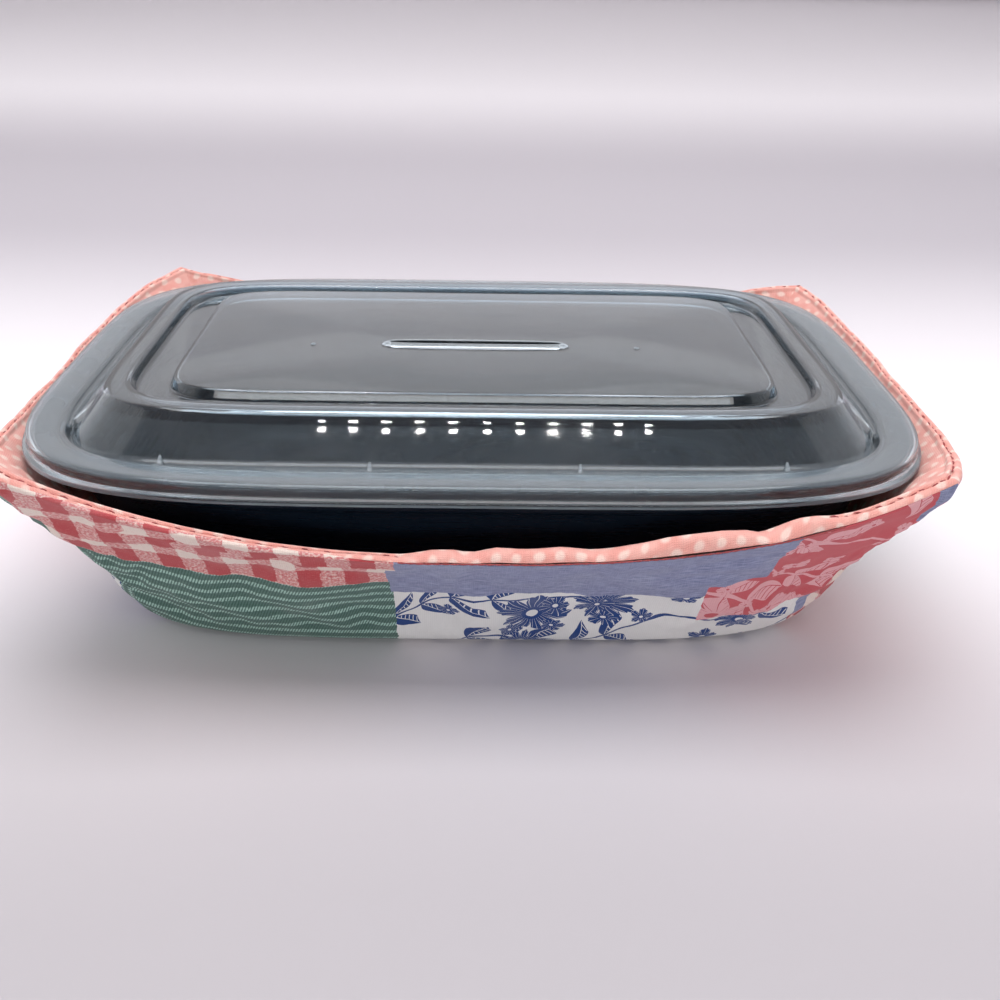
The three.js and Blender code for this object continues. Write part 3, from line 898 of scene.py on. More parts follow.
def patchwork_material(colours):
    """The outer cloth: one cotton printed as a patchwork of check, stripe, plain and florals."""
    material, n, shader = new_material("Patchwork cotton")
    cloth = n.add("ShaderNodeUVMap", uv_map="cloth").outputs[0]
    ragged = n.vector(
        "MULTIPLY",
        n.vector("SUBTRACT", n.noise(cloth, 420.0, 2.0, out="Color"), (0.5, 0.5, 0.5)),
        (0.0012, 0.0012, 0.0),
    )
    torn = n.vector("ADD", cloth, ragged)

    weave = n.add("ShaderNodeGroup", node_tree=weave_group())
    n.set(weave.inputs["Cloth"], cloth)
    fade = n.noise(cloth, 55.0, 3.0)

    check = n.group(gingham_group(), {"Cloth": cloth})
    one = n.smooth_step(check, 0.2, 0.8)
    two = n.smooth_step(check, 1.2, 1.8)
    grain = n.noise(n.vector("MULTIPLY", cloth, (1500.0, 1900.0, 1.0)), 1.0, 1.0)
    mixed = n.mix(
        n.times(n.smooth_step(grain, 0.42, 0.66), 0.75), colours.check_pink, colours.check_cream
    )
    mixed = n.mix(
        n.times(n.smooth_step(n.noise(cloth, 1400.0, 1.0), 0.50, 0.68), 0.55),
        mixed,
        colours.check_red,
    )
    gingham = n.mix(two, n.mix(one, colours.check_cream, mixed), colours.check_red)
    gingham = n.mix(n.times(n.smooth_step(grain, 0.56, 0.72), 0.22), gingham, colours.check_pink)

    twill = n.add("ShaderNodeGroup", node_tree=twill_group())
    n.set(twill.inputs["Cloth"], cloth)
    stripe = n.mix(twill.outputs["Light"], colours.stripe_dark, colours.stripe_light)

    threads = n.noise(n.vector("MULTIPLY", cloth, (260.0, 3000.0, 1.0)), 1.0, 2.0)
    chambray = n.mix(
        n.smooth_step(threads, 0.35, 0.7), colours.chambray_dark, colours.chambray_light
    )
    cross = n.noise(n.vector("MULTIPLY", cloth, (3000.0, 300.0, 1.0)), 1.0, 2.0)
    chambray = n.mix(
        n.times(n.smooth_step(cross, 0.45, 0.7), 0.5), chambray, colours.chambray_light
    )

    vines, blossoms = vine_group(), blossom_group()
    bent = n.vector(
        "ADD",
        cloth,
        n.vector(
            "MULTIPLY",
            n.vector("SUBTRACT", n.noise(cloth, 75.0, 1.0, out="Color"), (0.5, 0.5, 0.5)),
            (0.007, 0.007, 0.0),
        ),
    )

    def floral(paper, ink, pale, tilt, leaves, flowers):
        turned = n.add(
            "ShaderNodeMapping",
            {"Vector": bent, "Location": (0.0031, 0.0077, 0.0), "Rotation": (0.0, 0.0, tilt)},
        ).outputs[0]
        vine = n.add("ShaderNodeGroup", node_tree=vines)
        n.set(vine.inputs["Cloth"], turned)
        for name, value in leaves.items():
            n.set(vine.inputs[name], value)
        printed, lines = vine.outputs["Printed"], vine.outputs["Veins"]
        for cells, size, petals, share in flowers:
            bloom = n.add("ShaderNodeGroup", node_tree=blossoms)
            for name, value in {
                "Cloth": turned, "Cells": cells, "Size": size, "Petals": petals, "Share": share
            }.items():
                n.set(bloom.inputs[name], value)
            here = bloom.outputs["Printed"]
            lines = n.most(
                n.times(lines, n.minus(1.0, here)),
                n.most(bloom.outputs["Lines"], bloom.outputs["Eye"]),
            )
            printed = n.most(printed, here)
        inked = n.mix(lines, ink, pale)
        return n.mix(printed, paper, inked)

    blue = floral(
        colours.floral_white, colours.floral_blue, colours.floral_white, 0.22,
        {
            "Row": 0.020,
            "Leaf pitch": 0.0082,
            "Leaf length": 0.0084,
            "Leaf width": 0.0026,
            "Stem": 0.00042,
        },
        ((40.0, 0.0086, 9.0, 0.55), (85.0, 0.0036, 5.0, 0.5)),
    )
    red = floral(
        colours.red_ground, colours.red_pale, colours.red_ground, -0.6,
        {
            "Row": 0.017,
            "Leaf pitch": 0.0090,
            "Leaf length": 0.0085,
            "Leaf width": 0.0034,
            "Stem": 0.00050,
        },
        ((42.0, 0.0100, 6.0, 0.55), (110.0, 0.0028, 4.0, 0.7)),
    )
    fills = {
        "gingham": gingham,
        "stripe": stripe,
        "chambray": chambray,
        "blue floral": blue,
        "red floral": red,
    }

    patch = patch_group()
    colour = chambray
    for kind, left, right, front, back in PATCHES:
        inside = n.group(patch, {
            "Cloth": torn,
            "Middle": ((left + right) / 2, (front + back) / 2, 0.0),
            "Half size": ((right - left) / 2, (back - front) / 2, 1.0),
        })
        colour = n.mix(inside, colour, fills[kind])
    # Painted shade of the weave darkens the print where threads cross, then a random fade pales it
    # a little towards white
    weave_shade_and_fade = n.blend("MULTIPLY", 1.0, colour, n.grey(weave.outputs["Shade"]))
    weave_shade_and_fade = n.mix(n.times(n.smooth_step(fade, 0.5, 0.75), 0.10), weave_shade_and_fade, colours.floral_white)
    n.set(shader.inputs["Base Color"], weave_shade_and_fade)
    n.set(shader.inputs["Roughness"], n.lerp(fade, 0.82, 0.95))
    shader.inputs["Specular IOR Level"].default_value = 0.25
    shader.inputs["Sheen Weight"].default_value = 0.12
    shader.inputs["Sheen Roughness"].default_value = 0.6
    bump = n.bump(0.35, 0.0003, weave.outputs["Height"])
    folds = n.noise(cloth, 130.0, 2.0)
    soft = n.bump(0.35, 0.0012, folds, bump)
    n.set(shader.inputs["Normal"], soft)
    return material


def dotted_material(colours):
    """The lining: coral cotton with pale dots."""
    material, n, shader = new_material("Dotted cotton")
    cloth = n.add("ShaderNodeUVMap", uv_map="cloth").outputs[0]
    weave = n.add("ShaderNodeGroup", node_tree=weave_group())
    n.set(weave.inputs["Cloth"], cloth)
    dots = n.group(dots_group(), {"Cloth": cloth})
    blotch = n.noise(cloth, 240.0, 2.0)
    ground = n.mix(n.smooth_step(blotch, 0.35, 0.65), colours.lining_deep, colours.lining_coral)
    colour = n.mix(n.times(dots, 0.85), ground, colours.lining_dot)
    shaded = n.blend("MULTIPLY", 1.0, colour, n.grey(weave.outputs["Shade"]))
    n.set(shader.inputs["Base Color"], shaded)
    n.set(shader.inputs["Roughness"], n.lerp(blotch, 0.8, 0.95))
    shader.inputs["Specular IOR Level"].default_value = 0.25
    shader.inputs["Sheen Weight"].default_value = 0.15
    shader.inputs["Sheen Roughness"].default_value = 0.6
    bump = n.bump(0.4, 0.0003, weave.outputs["Height"])
    soft = n.bump(0.5, 0.0015, n.noise(cloth, 150.0, 2.0), bump)
    n.set(shader.inputs["Normal"], soft)
    return material


def wadding_material():
    """Needled cotton wadding."""
    material, n, shader = new_material("Cotton wadding")
    place = n.place()
    fluff = n.noise(place, 700.0, 4.0, 0.7)
    clumps = n.noise(place, 90.0, 2.0)
    n.set(
        shader.inputs["Base Color"],
        n.mix(n.times(fluff, clumps), (0.84, 0.80, 0.72, 1), (0.95, 0.93, 0.88, 1)),
    )
    n.set(shader.inputs["Roughness"], n.lerp(clumps, 0.9, 1.0))
    shader.inputs["Sheen Weight"].default_value = 0.3
    n.set(shader.inputs["Normal"], n.bump(0.6, 0.0006, fluff))
    return material


def thread_material(name, dark, light):
    """Twisted sewing thread."""
    material, n, shader = new_material(name)
    place = n.place()
    x, y, z = n.parts(place)
    twist = n.math("SINE", n.times(n.plus(n.plus(x, y), n.times(z, 1.7)), 9000.0))
    dye = n.noise(place, 300.0, 1.0)
    n.set(shader.inputs["Base Color"], n.mix(dye, dark, light))
    n.set(shader.inputs["Roughness"], n.lerp(dye, 0.45, 0.65))
    n.set(shader.inputs["Normal"], n.bump(0.5, 0.0001, twist))
    return material


def black_plastic_material():
    """Thermoformed black polypropylene: a soft gloss with faint scuffs."""
    material, n, shader = new_material("Black polypropylene")
    place = n.place()
    scuffs = n.noise(n.vector("MULTIPLY", place, (60.0, 60.0, 900.0)), 1.0, 3.0)
    dust = n.noise(place, 1200.0, 2.0)
    colour = n.mix(
        n.times(n.smooth_step(dust, 0.66, 0.8), 0.10),
        (0.0045, 0.0110, 0.0210, 1),
        (0.06, 0.07, 0.10, 1),
    )
    n.set(shader.inputs["Base Color"], colour)
    n.set(shader.inputs["Roughness"], n.lerp(scuffs, 0.20, 0.36))
    shader.inputs["Specular IOR Level"].default_value = 0.28
    n.set(shader.inputs["Normal"], n.bump(0.08, 0.0006, n.noise(place, 90.0, 1.0)))
    return material


def clear_plastic_material(name, transmission, smoothest, roughest):
    """Translucent polypropylene: a thin sheet is nearly clear, and a thick edge is milky."""
    material, n, shader = new_material(name)
    place = n.place()
    haze = n.noise(n.vector("MULTIPLY", place, (38.0, 60.0, 60.0)), 1.0, 3.0)
    flow = n.noise(n.vector("MULTIPLY", place, (90.0, 14.0, 14.0)), 1.0, 2.0)
    n.set(shader.inputs["Base Color"], n.mix(haze, (0.50, 0.62, 0.69, 1), (0.74, 0.80, 0.84, 1)))
    rough = n.lerp(n.smooth_step(haze, 0.40, 0.75), smoothest, roughest)
    n.set(shader.inputs["Roughness"], n.plus(rough, n.times(n.smooth_step(flow, 0.55, 0.8), 0.03)))
    shader.inputs["IOR"].default_value = 1.49
    shader.inputs["Transmission Weight"].default_value = transmission
    n.set(shader.inputs["Normal"], n.bump(0.02, 0.0005, n.noise(place, 40.0, 1.0)))
    return material


def stage_material(name, colours):
    """Matt paper whose colour changes a little from the front to the back, darker in front as
    painted shadow, and which stays pale where it stands up, further from the lamps."""
    material, n, shader = new_material(name)
    _, y, z = n.parts(n.place())
    ramp = n.add("ShaderNodeValToRGB", {"Fac": n.math("MULTIPLY_ADD", n.plus(y, z), 0.5, 0.3)})
    ramp.color_ramp.interpolation = "EASE"
    while len(ramp.color_ramp.elements) < len(colours):
        ramp.color_ramp.elements.new(0.5)
    for element, (place, colour) in zip(ramp.color_ramp.elements, colours):
        element.position, element.color = place * 0.5 + 0.3, colour
    n.set(shader.inputs["Base Color"], ramp.outputs["Color"])
    path = n.add("ShaderNodeLightPath")
    seen = n.most(
        path.outputs["Is Camera Ray"],
        n.most(path.outputs["Is Glossy Ray"], path.outputs["Is Transmission Ray"]),
    )
    n.set(shader.inputs["Emission Color"], ramp.outputs["Color"])
    n.set(
        shader.inputs["Emission Strength"],
        n.times(seen, n.times(n.smooth_step(z, 0.02, 0.6), 0.14)),
    )
    shader.inputs["Roughness"].default_value = 0.9
    shader.inputs["Specular IOR Level"].default_value = 0.1
    material.cycles.emission_sampling = "NONE"
    return material


# ---------------------------------------------------------------------------------------------
# Settings
# ---------------------------------------------------------------------------------------------


def colour_setting(name, description, default):
    return FloatVectorProperty(
        name=name, description=description, subtype="COLOR", size=4, min=0, max=1, default=(
            *default, 1.0
        )
    )


def length_setting(name, description, default, least, most):
    return FloatProperty(
        name=name, description=description, default=default, min=least, max=most, unit="LENGTH"
    )


def power_setting(name, description, default):
    return FloatProperty(
        name=name, description=description, default=default, min=0, max=50, unit="POWER"
    )


def brightness_setting(name, description, default):
    return FloatProperty(name=name, description=description, default=default, min=0, max=5)


class CozySettings(bpy.types.PropertyGroup):
    """Sizes and colours of the sewn cozy."""

    roll_height: length_setting(
        "Roll height", "How far the lining rolls up above the lip's seam", 0.0037, 0.0005, 0.006
    )
    seam_pinch: length_setting(
        "Seam pinch", "How deep the line of stitches draws the lining in", 0.0008, 0, 0.002
    )
    check_red: colour_setting("Check red", "Darkest squares of the check", (0.50, 0.072, 0.080))
    check_pink: colour_setting("Check pink", "Middle squares of the check", (0.68, 0.24, 0.24))
    check_cream: colour_setting("Check cream", "Lightest squares of the check", (0.86, 0.72, 0.65))
    stripe_dark: colour_setting("Stripe green", "Ground of the twill stripe", (0.050, 0.120, 0.098))
    stripe_light: colour_setting(
        "Stripe mint", "Light threads of the twill stripe", (0.40, 0.60, 0.53)
    )
    chambray_dark: colour_setting(
        "Chambray blue", "Darker threads of the plain patch", (0.185, 0.205, 0.345)
    )
    chambray_light: colour_setting(
        "Chambray lilac", "Lighter threads of the plain patch", (0.34, 0.365, 0.54)
    )
    floral_white: colour_setting("Floral white", "Ground of the blue flowers", (0.84, 0.83, 0.82))
    floral_blue: colour_setting("Floral blue", "The blue flowers", (0.008, 0.048, 0.215))
    red_ground: colour_setting("Floral red", "Ground of the pale flowers", (0.60, 0.10, 0.12))
    red_pale: colour_setting("Floral pink", "The pale flowers on red", (0.82, 0.42, 0.45))
    lining_coral: colour_setting("Lining coral", "Ground of the lining", (0.90, 0.47, 0.41))
    lining_deep: colour_setting(
        "Lining shade", "Deeper coral in the lining's mottle", (0.87, 0.385, 0.33)
    )
    lining_dot: colour_setting("Lining dots", "Pale dots of the lining", (0.96, 0.72, 0.64))
    thread: colour_setting("Thread", "Thread of the seam along the lip", (0.46, 0.085, 0.085))
    thread_dark: colour_setting("Thread shade", "Darker twist of that thread", (0.30, 0.045, 0.05))


class ContainerSettings(bpy.types.PropertyGroup):
    """Sizes of the container's lid."""

    vent_length: length_setting("Vent length", "Length of the steam vent's slot", 0.046, 0.02, 0.07)
    vent_width: length_setting("Vent width", "Width of the steam vent's slot", 0.0018, 0.001, 0.004)
    fin_count: IntProperty(
        name="Fins", description="Stiffening fins on each long side", default=4, min=0, max=8
    )
    fin_pitch: length_setting("Fin pitch", "Distance from one fin to the next", 0.0484, 0.01, 0.06)


class StageSettings(bpy.types.PropertyGroup):
    """The backdrop and the lamps."""

    # The floor in front is coloured darker than beside the object: painted shadow on the floor
    near_shadow_colour: colour_setting("Near floor", "Colour of the floor in front", (0.53, 0.505, 0.53))
    floor_colour: colour_setting(
        "Floor", "Colour of the floor beside the object", (0.96, 0.925, 0.96)
    )
    backdrop_colour: colour_setting("Backdrop", "Colour of the paper behind", (0.545, 0.515, 0.555))
    far_colour: colour_setting(
        "Far backdrop", "Colour of the paper furthest back", (0.94, 0.91, 0.94)
    )
    lamp_power: power_setting("Lamp power", "Power of the large lamp above", 9.8)
    back_light: brightness_setting(
        "Back light", "Brightness of the panels behind, which the lid mirrors", 0.92
    )
    front_power: power_setting("Front power", "Power of the low lamp in front", 8.4)
    side_light: brightness_setting(
        "Side light", "Brightness of the panel on the left; the right one has a little less", 0.74
    )
    strip_power: power_setting(
        "Strip power", "Power of each small lamp of the strips in front", 0.009
    )
    world_strength: brightness_setting("World", "Strength of the light from all round", 0.18)


# ---------------------------------------------------------------------------------------------
# Pieces
# ---------------------------------------------------------------------------------------------


def roll_rise(places, height):
    """How far the lining rolls up above the seam, as a share of a height: along the front as
    listed, hardly at all near the left, and in soft waves along the rest."""
    ring = lip(places, 0)
    x, y = ring[:, 0], ring[:, 1]
    waves = np.array(
        [
            noise.noise(Vector((a * 75, b * 75, 4.2))) + 0.5 * noise.noise(
                Vector((a * 170, b * 170, 1.3))
            )
            for a, b in zip(x, y)
        ]
    )
    free = 0.34 + 0.18 * waves
    front = np.interp(x, *zip(*FRONT_ROLL))
    near = smooth_between(-y, LIP[1] - 0.008, LIP[1] - 0.003) * (places[:, 1] == -1)
    return height * np.maximum(free * (1 - near) + front * near, 0.06)


def lining_height(places, settings, depth, inner, outer, lower=0.0):
    """How high the rolled lining stands above the lip, at some depth between its two feet."""
    arch = np.sqrt(np.clip(1 - ((2 * depth - inner - outer) / (inner - outer)) ** 2, 0, 1))
    along, whole = perimeter(places)
    puckers = 1 + 0.6 * np.cos(along / whole * round(whole / PUCKER_PITCH) * 2 * math.pi)
    seam = settings.seam_pinch * (1 - puffed(places)) * puckers
    dip = seam * np.exp(-(((depth - STITCH_DEPTH) / 0.0005) ** 2))
    return (roll_rise(places, settings.roll_height) - lower) * arch + 0.0003 - dip


def raised(ring, rise):
    return ring + np.column_stack([np.zeros((len(ring), 2)), np.broadcast_to(rise, len(ring))])


class COZY_OT_sew_cover(bpy.types.Operator):
    """Sews the outer cover from the patchwork print"""

    bl_idname = "cozy.sew_cover"
    bl_label = "Sew the cover"

    def execute(self, context):
        settings = context.scene.cozy_settings
        places = stations(CLOTH_STEPS)
        outer, inner = COVER_DEPTHS
        face = layer_face(places, outer, 0)
        lining_side = layer_face(places, inner, 0)
        over = fold_over(places)
        high = 0.0003 + over * 0.3
        fold = [
            edge(places, 0.00010 + over * 0.12, high * 0.6),
            edge(places, 0.00024 + over * 0.45, high),
            edge(places, 0.00034 + over * 0.85, high),
            edge(places, 0.00044 + over, high * 0.8),
            edge(places, 0.00054 + over, high * 0.35),
            edge(places, 0.00060 + over * 0.5, high * 0.35),
        ]
        rings = [*face, *fold, *lining_side[::-1]]
        cover, levels, spots = loft("cover_cloth", rings)
        lay_flat(cover, levels, spots, rings, places)
        cover.data.materials.append(patchwork_material(settings))
        smooth(cover, 60)
        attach(cover, "cozy")
        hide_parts("cozy_cover")
        return {"FINISHED"}


class COZY_OT_lay_wadding(bpy.types.Operator):
    """Lays the two waddings between the cover and the lining"""

    bl_idname = "cozy.lay_wadding"
    bl_label = "Lay the waddings"

    def execute(self, context):
        material = wadding_material()
        places = stations(WADDING_STEPS)
        for name, node, (outer, inner) in (
            ("batting_outer", "cover_wadding", COVER_WADDING_DEPTHS),
            ("batting_inner", "lining_wadding", LINING_WADDING_DEPTHS),
        ):
            face = layer_face(places, outer, WADDING_STOP, shares=14)
            back = layer_face(places, inner, WADDING_STOP, shares=14)
            batting, _, _ = loft(name, [*face, *back[::-1]])
            batting.data.materials.append(material)
            smooth(batting, 60)
            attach(batting, "cozy")
            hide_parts(node)
        return {"FINISHED"}


class COZY_OT_sew_lining(bpy.types.Operator):
    """Sews the dotted lining, which rolls over the wadding at the lip"""

    bl_idname = "cozy.sew_lining"
    bl_label = "Sew the lining"

    def execute(self, context):
        settings = context.scene.cozy_settings
        places = stations(CLOTH_STEPS)
        under, over = LINING_DEPTHS
        inside = layer_face(places, over, 0)
        outside = layer_face(places, under, 0)

        folded = fold_over(places)

        def roll(inner, outer, lower):
            rings = []
            for angle in np.radians(
                (14, 30, 45, 56, 63, 68, 73, 78, 83, 88, 94, 104, 118, 135, 155, 170)
            ):
                depth = (inner + outer) / 2 + (inner - outer) / 2 * math.cos(angle)
                rings.append(
                    edge(places, depth, lining_height(places, settings, depth, inner, outer, lower))
                )
            return rings

        top = roll(over, 0.0001 + folded * 0.95, 0)
        hollow = roll(under, 0.0009 + folded * 0.8, 0.0005)
        rings = [*inside, *top, *hollow[::-1], *outside[::-1]]
        lining, levels, spots = loft("lining_cloth", rings)
        lay_flat(lining, levels, spots, rings, places)
        lining.data.materials.append(dotted_material(settings))
        smooth(lining, 60)
        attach(lining, "cozy")
        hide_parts("cozy_lining")
        return {"FINISHED"}


class COZY_OT_stitch_edge(bpy.types.Operator):
    """Runs the line of stitches round the cozy along its lip"""

    bl_idname = "cozy.stitch_edge"
    bl_label = "Stitch the edge"

    def execute(self, context):
        settings = context.scene.cozy_settings
        material = thread_material("Dark red thread", settings.thread_dark, settings.thread)
        nothing_selected()
        bpy.ops.mesh.primitive_cylinder_add(vertices=8, radius=STITCH_RADIUS, depth=STITCH_LENGTH)
        pattern = bpy.context.object
        bpy.ops.object.mode_set(mode="EDIT")
        bpy.ops.mesh.select_mode(type="EDGE")
        bpy.ops.mesh.select_all(action="SELECT")
        bpy.ops.mesh.subdivide(number_cuts=1)
        bpy.ops.object.mode_set(mode="OBJECT")
        for vertex in pattern.data.vertices:
            far = abs(vertex.co.z) / (STITCH_LENGTH / 2)
            vertex.co.x *= 1 - 0.45 * far
            vertex.co.y *= 1 - 0.45 * far
            vertex.co.y -= 0.00022 * far**2
        places = stations(CLOTH_STEPS)
        puffs = puffed(places)
        up = np.tile((0.0, 0.0, 1.0), (len(places), 1))
        inner, outer = LINING_DEPTHS[1], 0.0001 + fold_over(places) * 0.95
        high = lining_height(places, settings, STITCH_DEPTH, inner, outer) + 0.00022
        stitches = []
        # On top of the lining, and under it along the front where it puffs out over the lip.
        for ring, faces, where, pitch in (
            (edge(places, STITCH_DEPTH, high), up, puffs < 0.5, STITCH_PITCH),
            (
                # Along the front the stitches run end to end in dark red seam thread, a line that
                # also paints the seam's shade between lining and cover
                edge(places, -0.00008, 0.00040),
                outward(places) + up * 0.6,
                puffs > 0.5,
                STITCH_LENGTH,
            ),
        ):
            loop, faces, where = (np.concatenate([part, part[:1]]) for part in (ring, faces, where))
            far = np.concatenate([[0], np.cumsum(np.linalg.norm(np.diff(loop, axis=0), axis=1))])
            count = int(far[-1] / pitch)
            for i in range(count):
                at = (i + 0.5) * far[-1] / count
                if np.interp(at, far, where) < 0.5:
                    continue
                here, ahead = [
                    np.array([np.interp(at + d, far, loop[:, k]) for k in range(3)])
                    for d in (0, 0.0005)
                ]
                facing = Vector([np.interp(at, far, faces[:, k]) for k in range(3)])
                run = Vector(ahead - here).normalized()
                across = run.cross(facing).normalized()
                facing = across.cross(run).normalized()
                turn = Matrix((across, facing, run)).transposed().to_4x4()
                stitch = pattern.copy()
                stitch.data = pattern.data.copy()
                stitch.data.transform(Matrix.Translation(Vector(here)) @ turn)
                stitch.data.materials.append(material)
                context.collection.objects.link(stitch)
                stitches.append(stitch)
        bpy.data.objects.remove(pattern)
        thread = join(stitches, "edge_stitches")
        clean(thread)
        smooth(thread, 60)
        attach(thread, "cozy")
        return {"FINISHED"}


class CONTAINER_OT_mould_tub(bpy.types.Operator):
    """Moulds the black container"""

    bl_idname = "container.mould_tub"
    bl_label = "Mould the container"

    def execute(self, context):
        places = stations(PLASTIC_STEPS)
        shoulder = FLANGE_TOP - 0.009

        def face(inset):
            table = TUB_BOTTOM + inset
            foot = lambda out, height: level(places, FOOT, out, height, TUB_POWER)
            rings = [
                foot(-0.030, table + 0.001),
                foot(-0.0050 + inset * 0.4, table + 0.001),
                foot(-0.004 + inset * 0.4, table),
                foot(-inset, table),
            ]
            rings += [
                foot(0.0035 * 0.7 - inset, table + 0.0035 * 0.3),
                foot(0.0035 - inset, table + 0.0035),
            ]
            rings += [
                level(places, SHOULDER, -inset - 0.0011, shoulder, RIM_POWER),
                level(places, SHOULDER, -inset, shoulder + 0.0012, RIM_POWER),
            ]
            return rings

        edge = -0.0011 - LID_SKIN - 0.0006
        outside = [*face(0), level(places, MOUTH, 0, FLANGE_TOP - TUB_WALL, RIM_POWER)]
        outside += [
            level(places, RIM, edge - a, FLANGE_TOP - b, RIM_POWER)
            for a, b in ((0.0009, 0.0009), (0.0009, 0.0024), (0, 0.0024))
        ]
        inside = [
            *face(TUB_WALL), level(places, MOUTH, -TUB_WALL, FLANGE_TOP - TUB_WALL, RIM_POWER)
        ]
        inside += [
            level(places, MOUTH, 0, FLANGE_TOP, RIM_POWER),
            level(places, RIM, edge - 0.00045, FLANGE_TOP, RIM_POWER),
            level(places, RIM, edge, FLANGE_TOP - 0.00045, RIM_POWER),
        ]
        rings = [*outside, *inside[::-1]]
        outer_radii = [
            0, 0.0004, 0.0004, 0.0006, 0.0012, 0.002, 0.0008, 0.0008, 0.0012, 0.0003, 0.0003, 0.0003
        ]
        inner_radii = [
            0, 0.0004, 0.0004, 0.0006, 0.0012, 0.002, 0.0008, 0.0008, 0.0008, 0.0012, 0.0003, 0.0003
        ]
        tub, _, _ = loft("tub_shell", rounded(rings, [*outer_radii, *inner_radii[::-1]]))
        tub.data.materials.append(black_plastic_material())
        smooth(tub, 35)
        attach(tub, "container")
        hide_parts("container_tub")
        return {"FINISHED"}


